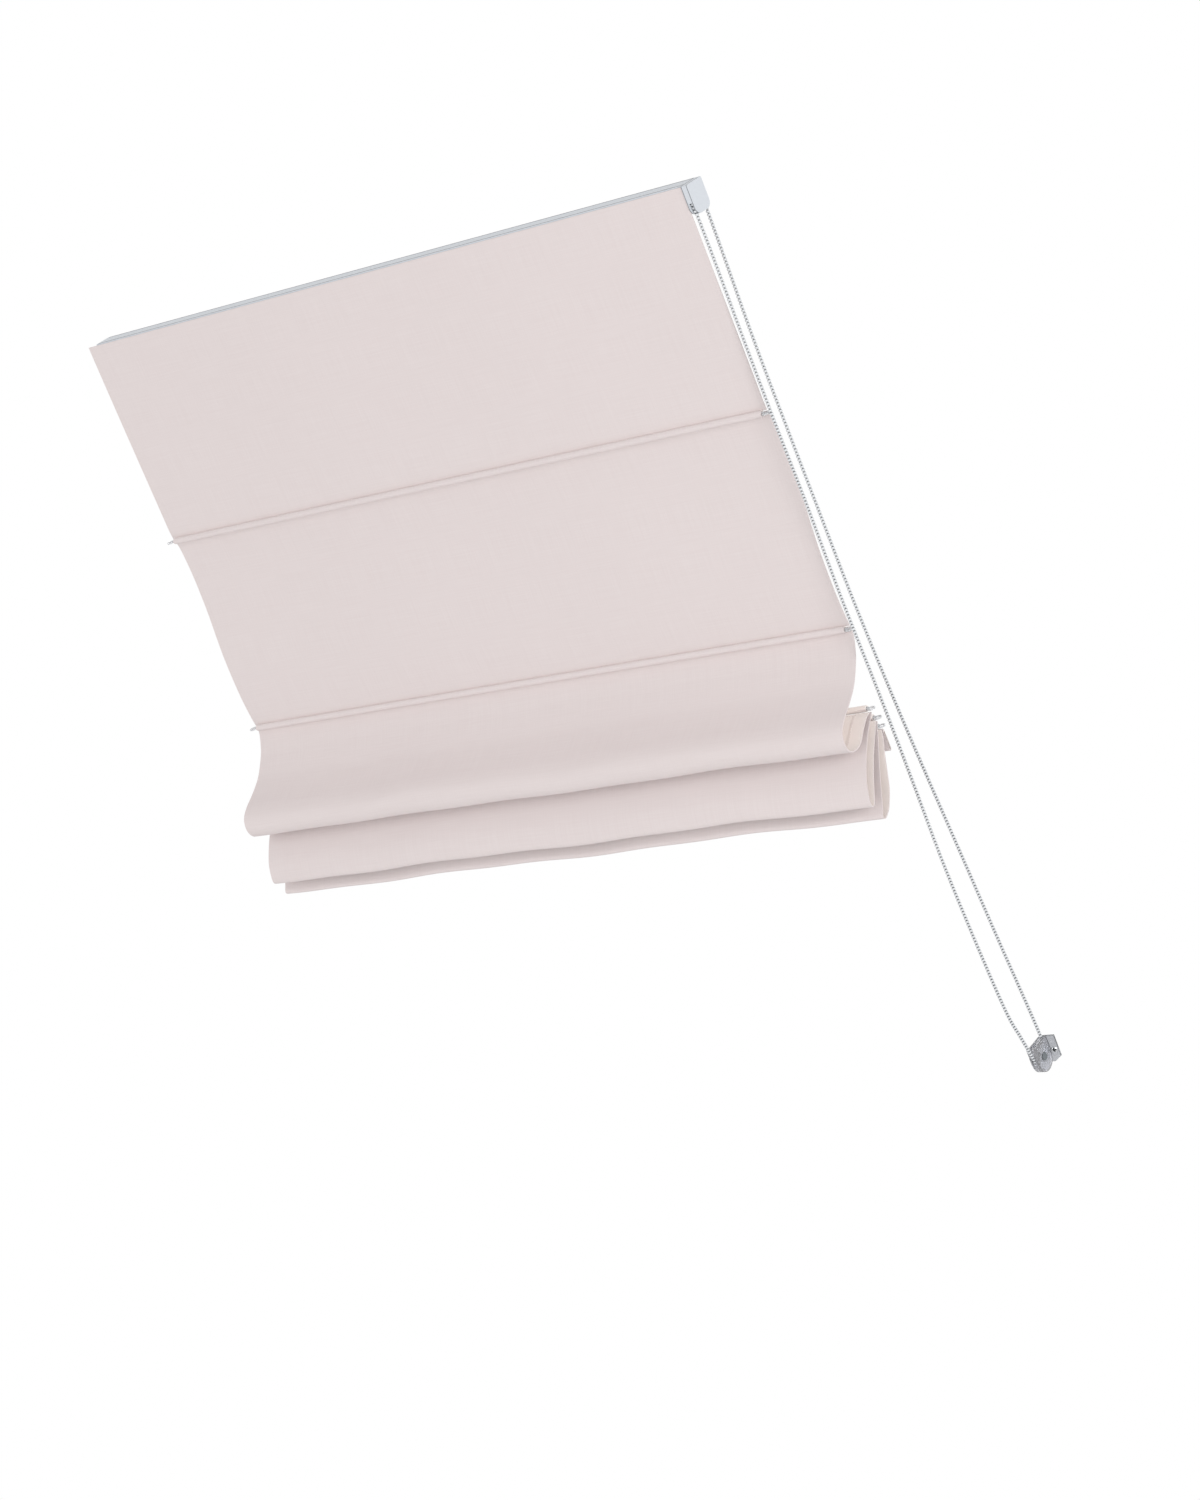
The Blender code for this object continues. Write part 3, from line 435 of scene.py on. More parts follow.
for side in SIDES:
    route = smooth_route(cord_knots(side), STEPS)
    cuts = [0, *(STEPS * knot for knot in range(2, 7)), len(route) - 1]
    for index, (start, end) in enumerate(zip(cuts, cuts[1:])):
        path = to_world(route[start : end + 1])
        body = bodies[5] if index == 5 else None
        cord = tube(f"lift_cord_{side}_{index + 1}", path, CORD_RADIUS, CORD_SIDES, body)
        dress(cord, f"lift_cord_{side}", "cord", CORD)
        if index < 5:
            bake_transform(cord)

# %% [markdown]
# ## Bead chain
# The operating chain is an endless polyester thread with a small moulded ball every 3.6 mm. It
# runs from the drive down to the tensioner's pulley and back, slack enough to bow a little. A ball
# is a short turned profile of a few dozen faces, set several hundred times.

# %% Chain route
BEAD_PITCH = 0.0036
BEAD_RADIUS = 0.0022
THREAD_RADIUS = 0.0004
THREAD_SIDES = 6
WHEEL_BEADS = 18
PULLEY_BEADS = 23
ARC_POINTS = 25
ROOM_STRAND = [
    (0.03, 0.0022), (0.08, 0.0006), (0.165, -0.0036), (0.25, -0.007), (0.34, -0.009),
    (0.45, -0.014), (0.565, -0.0155), (0.655, -0.0185), (0.75, -0.0225), (0.85, -0.0215),
    (0.93, -0.018), (0.965, -0.011),
]
ROOF_STRAND = [
    (0.03, 0.0215), (0.086, 0.018), (0.171, 0.0122), (0.257, 0.009), (0.346, 0.0066),
    (0.458, 0.0038), (0.574, 0.0052), (0.669, 0.0086), (0.767, 0.0131), (0.866, 0.0175),
    (0.954, 0.0222),
]

wheel_x = middle("chain_top_turn")[0]


def chain_point(pairs):
    """(x, depth, drop) of (drop, depth): x runs evenly from wheel to pulley."""
    drop, depth = np.array(pairs).T
    share = (drop - shaft[2]) / (pulley[2] - shaft[2])
    return np.stack([wheel_x + (pulley[0] - wheel_x) * share, depth, drop], 1)


def arc(centre, beads, x, start, end):
    """Arc about a wheel of some beads: depth - radius cos a, drop + radius sin a."""
    radius = beads * BEAD_PITCH / (2 * math.pi)
    angle = np.linspace(start, end, ARC_POINTS)
    return np.stack([np.full(ARC_POINTS, x), centre[1] - radius * np.cos(angle),
                     centre[2] + radius * np.sin(angle)], 1)


under = arc(pulley, PULLEY_BEADS, pulley[0], 0, math.pi)
over = arc(shaft, WHEEL_BEADS, wheel_x, -math.pi, 0)
down = smooth_route([over[-1], *chain_point(ROOM_STRAND), under[0]], 8)
up = smooth_route([under[-1], *chain_point(ROOF_STRAND[::-1]), over[0]], 8)
chain_run = to_world(np.vstack([down, under[1:-1], up]))
chain_turn = to_world(over)
print("chain", round(reach(chain_run)[-1], 4), "+", round(reach(chain_turn)[-1], 4), "m")

# %% Beads on the thread
BALL_LATITUDES = (-68, -50, -25, 0, 25, 50, 68)
BALL_SIDES = 10
BALL_LENGTH = 0.79
POLE_SHADE = (0.0008, 0.0014)


def balls(centres, ways, along, radii, sides, across=(1, 0, 0)):
    """Turned profile repeated: rings at centre + along way for each ball, and flat ends.
    Each corner's metres are its place round and along its own ball."""
    middles = centres[:, None] + along[:, None] * ways[:, None]
    points = rings(middles, ways[:, None], radii, sides, across)
    count, levels = middles.shape[:2]
    groups, corners = capped(levels, sides)
    shift = (np.arange(count) * levels * sides)[:, None, None]
    faces = [(group + shift).reshape(-1, group.shape[1]) for group in groups]
    round_it = corners[..., 1] * np.max(radii) * 2 * math.pi / sides
    ends = [np.full((1, sides, 2), (0.0, along[end])) for end in (0, -1)]
    uv = [np.stack([round_it, along[corners[..., 0]]], -1), *ends]
    return points.reshape(-1, 3), faces, [np.tile(values, (count, 1, 1)) for values in uv]


# Moulded polyester balls are white and smooth. Their poles, where two balls nearly touch, get grey
# painted shade, which follows the distance from the ball's middle.
BEADS, tree = finish("moulded_polyester_bead", Roughness=0.3, IOR=1.5)
belly = mixed(tree, blotches(tree, on_slope(tree), 260.0, 2.0), "#D6D9DC", "#E6E8EA")
painted_pole_shade = ramp(tree, maths(tree, "ABSOLUTE", split(tree, metres(tree))["Y"]), *POLE_SHADE)
feed(tree, Base_Color=mixed(tree, painted_pole_shade, belly, "#74777C"))

STRANDS = (("", chain_run, "chain_run"), ("_on_wheel", chain_turn, "chain_top_turn"))
latitude = np.radians(BALL_LATITUDES)
links = []
along, radii = BALL_LENGTH * BEAD_RADIUS * np.sin(latitude), BEAD_RADIUS * np.cos(latitude)
for suffix, path, node in STRANDS:
    points, faces, uv = balls(*spaced(path, BEAD_PITCH), along, radii, BALL_SIDES)
    links.append(piece(f"bead_chain{suffix}", points, faces, bodies[0], uv))
    dress(links[-1], node, "bead_chain", BEADS)
    print(links[-1].name, len(points) // (len(BALL_LATITUDES) * BALL_SIDES), "balls")
for suffix, path, node in STRANDS:
    links.append(tube(f"chain_thread{suffix}", path, THREAD_RADIUS, THREAD_SIDES, bodies[0]))
    dress(links[-1], node, "bead_chain", CORD)

# %% [markdown]
# ## The cloth
# The cloth is plain-woven polyester, 0.8 mm with the cream coating on its back, and hemmed at its
# sides. It is one sheet, but each panel lies between the bodies of two rods, so it is cut there.
# A panel is a profile across the cloth, carried along a route seen from the side. The gathered
# panels hang in loops, cut where they stand out furthest from the roof. The first loop's rear half
# hangs from the rod below it; every other piece stays where it is made.

# %% Cloth finishes
THREAD_SPACING = 0.0011
SLUB_LENGTH = 0.060
WEAVE_DEPTH = 0.0001

# Crossing threads, a few thick ones, soft sheen. Real threads are 0.5 mm apart, and these twice as
# coarse, so that they just show.
CLOTH, tree = finish("plain_woven_polyester", Roughness=0.85, Sheen_Weight=0.15,
                     Sheen_Roughness=0.5, IOR=1.45, Specular_IOR_Level=0.25)
place = metres(tree)
threads = (bands(tree, place, THREAD_SPACING, axis, 0.6) for axis in "XY")
weave = maths(tree, "MAXIMUM", *threads)
fine, long = 1 / THREAD_SPACING, 1 / SLUB_LENGTH
slubs = [blotches(tree, turned(tree, place, Scale=stretch), 1.0, 1.0)
         for stretch in ((long, fine, 1), (fine, long, 1))]
tone = ramp(tree, maths(tree, "ADD", *slubs), 0.7, 1.3)
feed(tree, Base_Color=mixed(tree, tone, "#DFD4D3", "#E2D8D7"),
     Normal=relief(tree, maths(tree, "ADD", weave, tone), 0.25, WEAVE_DEPTH))

# The cream dim-out coating on the cloth's back is matt, with the faint print of the weave.
LINING, tree = finish("coated_polyester_lining", Roughness=0.7, IOR=1.45)
place = metres(tree)
weft = bands(tree, place, THREAD_SPACING, "Y")
feed(tree, Base_Color=mixed(tree, blotches(tree, place, 40.0, 3.0), "#F5ECE8", "#FBF3EF"),
     Normal=relief(tree, weft, 0.15, WEAVE_DEPTH))
print("made", CLOTH.name, "and", LINING.name)

# %% Panel routes
PANELS = [
    [(0.0, 0.0004), (0.12, 0.0004), (0.2, 0.0002), (0.228, 0.0), (0.2396, 0.0007)],
    [(0.2411, 0.0018), (0.2445, 0.0019), (0.248, 0.0034), (0.258, 0.005), (0.29, 0.0062),
     (0.333, 0.0043), (0.37, 0.0004), (0.4, -0.002), (0.44, -0.0026), (0.468, -0.001),
     (0.4816, 0.0007)],
    [(0.4831, 0.0018), (0.489, 0.0016), (0.496, -0.0003), (0.505, -0.0046), (0.5146, -0.0104),
     (0.5281, -0.0221), (0.5379, -0.0331), (0.548, -0.05), (0.557, -0.068), (0.566, -0.0785),
     (0.578, -0.0812), (0.588, -0.076), (0.591, -0.066), (0.589, -0.0545), (0.58, -0.0415),
     (0.573, -0.03), (0.5706, -0.0218)],
    [(0.5722, -0.0179), (0.579, -0.0268), (0.5887, -0.039), (0.6, -0.0495), (0.612, -0.0595),
     (0.6273, -0.07), (0.64, -0.075), (0.6485, -0.0765), (0.6523, -0.074), (0.65, -0.0695),
     (0.6407, -0.0635), (0.627, -0.0545), (0.6067, -0.0385), (0.593, -0.0255), (0.5828, -0.0163)],
    [(0.5846, -0.0143), (0.5885, -0.0178), (0.6, -0.024), (0.621, -0.037), (0.6466, -0.0518),
     (0.66, -0.059), (0.6686, -0.0648), (0.6722, -0.062), (0.6706, -0.056), (0.6655, -0.0485),
     (0.652, -0.0375), (0.6382, -0.031), (0.6177, -0.0225), (0.603, -0.0152), (0.5946, -0.0132)],
]
ROUTE_STEPS = 6
CLOTH_HALF = 0.425
CLOTH_THICK = 0.0008
COLUMNS = 170
SIDE_HEM = 0.018
HEM_EXTRA = 0.0003
HEM_STEP = 0.0006


def cloth_section():
    """Profile across the cloth: x and height along the face, then back along the rear."""
    inner = CLOTH_HALF - SIDE_HEM
    regular = np.linspace(-CLOTH_HALF, CLOTH_HALF, COLUMNS + 1)
    x = np.sort([*regular, -inner - HEM_STEP, -inner, inner, inner + HEM_STEP])
    hem = np.clip((np.abs(x) - inner) / HEM_STEP, 0, 1) * HEM_EXTRA
    face = np.full(len(x), -CLOTH_THICK / 2)
    rear = CLOTH_THICK / 2 + hem
    return np.concatenate([x, x[::-1]]), np.concatenate([face, rear[::-1]])


print("section points", len(cloth_section()[0]))

# %% Cloth shells
SLOW_WAVE = 0.0006
PUCKER = 0.00022
PUCKER_REACH = 0.010
FOLD_WAVE = 0.0012
FOLD_SPREAD = 0.030
CALM_REACH = 0.012
LOOP_DEPTH = 0.02
PLACE, SQUARE, DOWN, PULL, CALM = slice(0, 2), slice(2, 4), 4, 5, 6


def cloth_strip(knots):
    """Rows of a panel seen from the side, and its fold's distance from the top. A row has its
    place, the way square to it towards the roof, its distance from the top, how much of the fold's
    wave it takes, and how much it ripples."""
    route = smooth_route(knots, ROUTE_STEPS)[:, ::-1]
    down = reach(route)
    tip = down[np.argmin(route[:, 0])]
    ways = unit(np.gradient(route, axis=0))
    gathered = np.ptp(route[:, 0]) > LOOP_DEPTH
    pull, still = (gathered * np.exp(-(((down - tip) / spread) ** 2))
                   for spread in (FOLD_SPREAD, CALM_REACH))
    return np.column_stack([route, ways[:, 1], -ways[:, 0], down, pull, 1 - still]), tip


def rows_of(strip, start, end):
    """The rows of a strip between two distances from the panel's top."""
    return strip[(strip[:, DOWN] >= start) & (strip[:, DOWN] <= end)]


def ripple(x, down, whole):
    """Unevenness of hung cloth: a slow wave that fades at the seams, and puckers near them."""
    slow = SLOW_WAVE * wave(x, 0.31, 1.3) * np.sin(math.pi * down / whole)
    near = np.exp(-down / PUCKER_REACH) + np.exp(-(whole - down) / PUCKER_REACH)
    return slow + PUCKER * wave(x, 0.027, 0.4) * wave(x, 0.061, 2.0) * near


def laid(strip, x, height, whole):
    """(depth, drop): place + (height + ripple) square to it, and the fold's wave down."""
    uneven = ripple(x, strip[:, DOWN, None], whole) * strip[:, CALM, None]
    flat = strip[:, None, PLACE] + (height + uneven)[..., None] * strip[:, None, SQUARE]
    fold_wave = FOLD_WAVE * (wave(x, 0.37, 0.8) + 0.5 * wave(x, 0.149))
    flat[..., 1] += fold_wave * strip[:, PULL, None]
    return flat


def cloth_shell(name, strip, whole):
    """Closed sheet: rows down the strip, columns round the section across the cloth."""
    x, height = cloth_section()
    grid = np.insert(laid(strip, x, height, whole), 0, x, -1)
    rows, columns = grid.shape[:2]
    quads, corners = cells(rows, columns)
    edge = np.arange(columns // 2 - 1)
    first = np.stack([edge, columns - 1 - edge, columns - 2 - edge, edge + 1], 1)
    faces = [quads, first, first[:, ::-1] + (rows - 1) * columns]
    uv = [np.stack([x[group % columns], strip[group // columns, DOWN]], -1) for group in faces]
    shell = piece(name, to_world(grid), faces, None, uv)
    column = corners[:, 0, 1]
    paint(shell, CLOTH, LINING, second=(column >= columns // 2) & (column < columns - 1))
    return shell


print("panel 1 has", len(cloth_strip(PANELS[0])[0]), "rows")

# %% [markdown]
# ## Stitching
# Side hems, tucks and the bottom hem are sewn with a polyester thread, a stitch every 3 mm. Each
# stitch is a short thread that dips into the cloth at both ends: a turned profile, set like the
# chain's balls, and laid along the cloth below it.

# %% Stitch rows
STITCH_PITCH = 0.0030
STITCH_LENGTH = 0.0023
STITCH_RADIUS = 0.00022
STITCH_SIDES = 6
STITCH_RINGS = np.array([-1, -0.9, -0.55, 0.55, 0.9, 1])
SEAM_INSET = 0.0022
SEAM_MARGIN = 0.001
SIDE_SEAM = 0.0155
ROW_INSET = 0.019
ROW_POINTS = 163

# Spun polyester sewing thread in the cloth's own colour, with a soft twist.
THREAD, tree = finish("spun_polyester_thread", Roughness=0.7)
twist = blotches(tree, on_slope(tree), 900.0, 1.0)
feed(tree, Base_Color=mixed(tree, twist, "#CFC4C2", "#EDE4E2"))


def sew(name, paths, across=(0, 0.1, 1)):
    """One mesh of stitches on world paths, their radii r sqrt(1 - 0.82 s^6) along each."""
    along = STITCH_RINGS * STITCH_LENGTH / 2
    radii = STITCH_RADIUS * np.sqrt(1 - 0.82 * STITCH_RINGS**6)
    rows = [balls(*spaced(path, STITCH_PITCH), along, radii, STITCH_SIDES, across)[:2]
            for path in paths]
    points, faces = joined(rows)
    rows = piece(name, points, faces)
    paint(rows, THREAD)
    print(name, len(points) // (len(STITCH_RINGS) * STITCH_SIDES), "stitches")
    return rows


def sheet_seams(strip, whole, lift):
    """World paths of seams: the side hems on the back, and rows near the ends."""
    down = strip[:, DOWN]
    inner = rows_of(strip, down[0] + SEAM_MARGIN, down[-1] - SEAM_MARGIN)
    paths = []
    for x in (SIDE_SEAM - CLOTH_HALF, CLOTH_HALF - SIDE_SEAM):
        flat = laid(inner, np.array([x]), lift + HEM_EXTRA, whole)[:, 0]
        paths.append(to_world(np.insert(flat, 0, x, -1)))
    x = np.linspace(ROW_INSET - CLOTH_HALF, CLOTH_HALF - ROW_INSET, ROW_POINTS)
    for place in (SEAM_INSET, whole - SEAM_INSET):
        if down[0] < place < down[-1]:
            flat = laid(read_at([place], down, strip), x, lift, whole)[0]
            paths.append(to_world(np.insert(flat, 0, x, -1)))
    return paths


# %% Hung panels
FOLD_SHARE = 0.25
LOOP_START = -0.030


def hang(node, half, strip, whole, held, above, below, *limits):
    """Make a sheet and its seams, and keep both where they are made, or hang both from the lower
    body when no limits are given.
    """
    sheet = cloth_shell(f"cloth_{node}{half}", strip, whole)
    seams = sew(f"stitches_{node}{half}", sheet_seams(strip, whole, CLOTH_THICK / 2))
    dress(sheet, node, "cloth")
    for made in (sheet, seams):
        if limits:
            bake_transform(made)
        else:
            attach(made, below)


for index, knots in enumerate(PANELS):
    node = f"panel_{index + 1}"
    ends = bodies[index : index + 2]
    strip, tip = cloth_strip(knots)
    top, bottom, whole = strip[0, PLACE], strip[-1, PLACE], strip[-1, DOWN]
    print(node, "has", round(whole * 1000), "mm of cloth")
    if index < 2:
        hang(node, "", strip, whole, "hung", *ends, top, bottom)
        continue
    front = rows_of(strip, 0, tip)
    fold = front[-1, 0] - top[0]
    front_limits = [top, (LOOP_START if index == 2 else top[0] + fold / FOLD_SHARE, top[1])]
    closed = bottom[0] + (front[-1, 0] - bottom[0]) / (1 - FOLD_SHARE)
    rear_limits = [] if index == 2 else [(closed, bottom[1]), bottom]
    hang(node, "_front", front, whole, "gathered", *ends, *front_limits)
    hang(node, "_rear", rows_of(strip, tip, whole), whole, "gathered", *ends, *rear_limits)

# %% [markdown]
# ## Rod pockets
# Each rod lies in a tuck sewn across the cloth, so the room side shows a thin ridge. A pocket is a
# sleeve with a round outline outside and one inside, its crown drawn a little towards the seam.
# The gathered rods hang in the bends between loops, where the cloth's lined back is outside.

# %% Pocket sleeves
POCKET_BORE = 0.0023
POCKET_RADIUS = 0.0034
POCKET_SIDES = 24
CREST = 0.0004
UNEVEN = 0.00012


def sleeve(name, outer, inner, x, body):
    """Sleeve from outlines of (depth, drop) at each x, outside one way and back inside."""
    along = np.concatenate([x, x[::-1]])
    grid = np.insert(np.concatenate([outer, inner[::-1]]), 0, along[:, None], -1)
    faces, corners = cells(*grid.shape[:2], ring_rows=True)
    turn_length = reach(np.vstack([outer[0], outer[0][:1]]))
    uv = np.stack([along[corners[..., 0] % len(along)], turn_length[corners[..., 1]]], -1)
    return piece(name, to_world(grid), [faces], body, [uv])


def pocket_outline(centre, radius, x, lively=1.0):
    """Outline about a rod: radius + crest towards the seam above + slight unevenness."""
    angle = np.linspace(0, 2 * math.pi, POCKET_SIDES, endpoint=False)[None]
    crest = CREST * np.exp(-((angle - math.pi * 1.5) ** 2) / 0.2)
    radius = radius + lively * (crest + UNEVEN * wave(x, 0.043, 3 * angle) * wave(x, 0.19))
    return circle(angle, radius, centre[1:])


def line_back(obj, depth):
    """Cloth in front of a depth and lining behind it."""
    behind = slope_places(obj.data.polygons, "center")[:, 1] > depth
    paint(obj, CLOTH, LINING, second=behind)


for number, rod in enumerate(rods, 1):
    low, high = span(f"rod_pocket_{number}")
    x = np.linspace(low[0], high[0], COLUMNS + 1)
    outer = pocket_outline(rod, POCKET_RADIUS, x[:, None])
    inner = pocket_outline(rod, POCKET_BORE, x[:, None], lively=0.0)
    pocket = sleeve(f"cloth_tuck_{number}", outer, inner, x, f"rod_{number}")
    line_back(pocket, rod[1] if number < 3 else low[1])
    dress(pocket, f"rod_pocket_{number}", "cloth")
    print(pocket.name, "from", round(x[0], 3), "to", round(x[-1], 3))

# %% [markdown]
# ## Hem and bottom bar
# The cloth ends in a flat sleeve with an aluminium bar in it, which keeps the lower edge straight.
# Seen from the end it is a long flat ring, pinched by the seam over the bar, and made as the
# pockets are.

# %% Hem sleeve
HEM_GAP = 0.0003
HEM_POINTS = 24
HEM_UNEVEN = 0.04
SEAM_PINCH = 0.30
SEAM_SPREAD = 0.0011


def stadium(low, high):
    """Flat ring's outline from its box: half circle, straight side, half circle and back."""
    radius = (high[0] - low[0]) / 2
    turn = np.linspace(0, math.pi, HEM_POINTS, endpoint=False)
    rise = np.linspace(low[1] + radius, high[1] - radius, HEM_POINTS, endpoint=False)
    bottom = circle(turn, radius, (0, high[1] - radius))
    front = np.stack([np.full(HEM_POINTS, -radius), rise[::-1] + rise[1] - rise[0]], 1)
    top = circle(turn, -radius, (0, low[1] + radius))
    back = np.stack([np.full(HEM_POINTS, radius), rise], 1)
    return np.concatenate([bottom, front, top, back]) + ((low[0] + high[0]) / 2, 0)


low, high = span("hem_sleeve")
bar_low, bar_high = span("bottom_bar")
centre = (low[1] + high[1]) / 2
seam = (low[2] + bar_low[2]) / 2
x = np.linspace(-CLOTH_HALF, CLOTH_HALF, COLUMNS + 1)
outline = stadium(low[1:], high[1:])
pinch = 1 - SEAM_PINCH * np.exp(-((outline[:, 1] - seam) / SEAM_SPREAD) ** 2)
uneven = 1 + HEM_UNEVEN * wave(x[:, None], 0.17, outline[:, 1] * 150)
depth = centre + (outline[:, 0] - centre) * pinch * np.minimum(uneven, 1.0)
outside = np.stack([depth, np.broadcast_to(outline[:, 1], depth.shape)], -1)
inside = np.broadcast_to(stadium(bar_low[1:] - HEM_GAP, bar_high[1:] + HEM_GAP), outside.shape)
hem = sleeve("cloth_hem", outside, inside, x, "rod_5")
line_back(hem, centre)
dress(hem, "hem_sleeve", "cloth")
seam_paths = []
for face in (low[1], high[1]):
    face += SEAM_PINCH * (centre - face)
    seam_paths.append(to_world([(place, face, seam) for place in x[3:-3]]))
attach(sew("stitches_hem", seam_paths), "rod_5")
print("hem seam at drop", round(float(seam), 4))

# %% [markdown]
# ## Cord eyelets
# Behind every rod two moulded eyelets are caught in the tuck's seam, for the lift cords. Each is
# a thin tab with a hole near its rounded end: one closed surface, from the hole's circle out to
# the tab's outline on top and back below.

# %% Eyelets
EYE_BORE = 0.0015
EYE_HALF = 0.0040
EYE_TIP = 0.0026
EYE_THICK = 0.0016
EYE_ROOTS = (0.0038, 0.0038, 0.0019, 0.0019, 0.0019)
TAB_POINTS = 12


def tab_outline(x, rod, root):
    """Outline (x, depth) from seam to tip: straight sides, and a half ellipse at the end."""
    tip = rod[1] + EYE_REACH + EYE_TIP
    corner = 0.8 * EYE_HALF
    turn = np.linspace(0, math.pi, 2 * TAB_POINTS)
    end = np.stack([x + EYE_HALF * np.cos(turn), tip - corner + corner * np.sin(turn)], 1)
    side = np.linspace(tip - corner, rod[1] + root, TAB_POINTS, endpoint=False)[1:]
    left = np.stack([np.full(len(side), x - EYE_HALF), side], 1)
    foot = np.linspace(x - EYE_HALF, x + EYE_HALF, TAB_POINTS)
    base = np.stack([foot, np.full(TAB_POINTS, rod[1] + root)], 1)
    return np.concatenate([end, left, base, left[::-1] + (2 * EYE_HALF, 0)])


def eyelet(name, x, rod, root, body):
    """Washer with round edges: hole + (tab - hole) (1 - cos v) / 2, and thick sin v^0.6 up."""
    outline = tab_outline(x, rod, root)
    centre = np.array([x, rod[1] + EYE_REACH])
    hole = centre + EYE_BORE * unit(outline - centre)
    around = np.linspace(0, 2 * math.pi, 20, endpoint=False)
    share = (1 - np.cos(around)) / 2
    rise = np.sign(np.sin(around)) * np.abs(np.sin(around)) ** 0.6 * EYE_THICK / 2
    flat = hole[:, None] + share[None, :, None] * (outline - hole)[:, None]
    grid = np.insert(flat, 2, rod[2] - EYE_RISE - rise, -1)
    return piece(name, to_world(grid), [cells(*grid.shape[:2], ring_rows=True)[0]], body)


eyelets = []
for number, (rod, root) in enumerate(zip(rods, EYE_ROOTS), 1):
    for side in SIDES:
        x = middle(f"spool_{side}")[0]
        made = eyelet(f"cord_eyelet_{number}_{side}", x, rod, root, f"rod_{number}")
        dress(made, f"rod_pocket_{number}", "white_plastic")
        eyelets.append(made)
print("eyelets", len(eyelets))

# %% [markdown]
# ## Cord on the spools
# The raised part of each lift cord lies on its spool in one layer, turn beside turn: a helix, up
# to where the cord leaves for the cloth.

# %% Wound cord
TURN_POINTS = 16
WOUND_SIDES = 8


for side in SIDES:
    low, high = span(f"wound_cord_{side}")
    turns = (high[0] - low[0]) / (2 * CORD_RADIUS) - 1
    angle = np.linspace(-2 * math.pi * turns, 0, round(turns * TURN_POINTS) + 1)
    x = high[0] - CORD_RADIUS + angle / (2 * math.pi) * 2 * CORD_RADIUS
    path = to_world(np.insert(circle(angle, SPOOL_SIDE, shaft[1:]), 0, x, -1))
    cord = tube(f"lift_cord_{side}_wound", path, CORD_RADIUS, WOUND_SIDES, "drive", (0, 0.3, 0.9))
    dress(cord, f"wound_cord_{side}", "cord", CORD)
    print(cord.name, round(reach(path)[-1], 3), "m in", round(turns, 1), "turns")

# %% [markdown]
# ## Tensioner
# The tensioner is a clear moulding: two D-shaped cheeks with the pulley between them, a rim that
# joins them, and a flange on the wall with its lower corner cut off. Each is an outline drawn in at
# both ends, so that every edge is soft.

# %% Tensioner's body
CHEEK_WALL = 0.0015
RIM_WALL = 0.0009
FLANGE_WALL = 0.0022
FLANGE_INSET = 0.0010
FLANGE_CORNER = (0.0090, 0.0060)
SOFT_EDGE = 0.0003
OUTLINE_STEP = 0.0008


def prism(corners, start, end):
    """Closed shell (levels, n, 3) between two heights over an outline's corners, with a point
    every step: drawn in by e (1 - sin a) near both ends."""
    closed = np.vstack([corners, corners[:1]])
    along = reach(closed)
    at = np.linspace(0, along[-1], round(along[-1] / OUTLINE_STEP), endpoint=False)
    outline = read_at(at, along, closed)
    ahead = np.roll(outline, -1, 0)
    ways = unit(ahead - np.roll(outline, 1, 0))
    turn = np.sign(np.sum(outline[:, 0] * ahead[:, 1] - outline[:, 1] * ahead[:, 0]))
    inward = turn * np.stack([-ways[:, 1], ways[:, 0]], 1)
    angle = np.linspace(0, math.pi / 2, 4)
    inset = SOFT_EDGE * (1 - np.sin(angle))
    rise = SOFT_EDGE * (1 - np.cos(angle))
    heights = np.concatenate([start + rise, end - rise[::-1]])
    flat = outline + np.concatenate([inset, inset[::-1]])[:, None, None] * inward
    return np.insert(flat, 2, heights[:, None], -1)


def clear_body():
    """Cheeks, rim and flange as one mesh of four closed shells, (x, depth, drop) each."""
    low, high = span("tensioner_body")
    radius = high[2] - pulley[2]
    angle = np.linspace(0, math.pi, 40)
    bowl = circle(angle, radius, pulley[1:])
    inner = pulley[1:] + (bowl - pulley[1:]) * (1 - RIM_WALL / radius)
    top, foot = low[2] + FLANGE_INSET, high[2] - FLANGE_INSET
    roof, room = bowl[0, 0], bowl[-1, 0]
    cheek = np.vstack([(room, low[2]), (roof, low[2]), bowl])
    rim = np.vstack([(roof, top), bowl, inner[::-1], (roof - RIM_WALL, top)])
    left, near = low[0] + CHEEK_WALL, 2 * pulley[0] - low[0]
    flange = np.array([(left, top), (high[0], top), (high[0], foot - FLANGE_CORNER[1]),
                       (high[0] - FLANGE_CORNER[0], foot), (left, foot)])
    shells = [prism(cheek, low[0], left)[..., [2, 0, 1]],
              prism(cheek, near - CHEEK_WALL, near)[..., [2, 0, 1]],
              prism(rim, left, near - CHEEK_WALL)[..., [2, 0, 1]],
              prism(flange, WALL_DEPTH - FLANGE_WALL, WALL_DEPTH)[..., [0, 2, 1]]]
    parts = []
    for shell in shells:
        faces = capped(*shell.shape[:2])[0]
        points = to_world(shell).reshape(-1, 3)
        way = facing(points, faces)
        parts.append((points, [group[:, ::way] for group in faces]))
    return piece("tensioner_clear_body", *joined(parts), bodies[0])


tensioner = clear_body()
dress(tensioner, "tensioner_body", "clear_plastic")
print("clear body", len(tensioner.data.polygons), "faces")

# %% [markdown]
# ## Screw head
# One pan-head screw with a cross recess holds the tensioner's flange. Its head is a dome over
# polar coordinates, with the cross sunk into it. A plain shank closes it below.

# %% Tensioner's screw
SCREW_SIDES = 96
RECESS_HALF = 0.0009
RECESS_REACH = 0.0026
RECESS_DEEP = 0.0014
RECESS_EDGE = 0.00012
RECESS_SHARE = 0.3


def within(value, limit):
    """Soft step 1 / (1 + e^((value - limit) / edge))."""
    return 1 / (1 + np.exp((value - limit) / RECESS_EDGE))


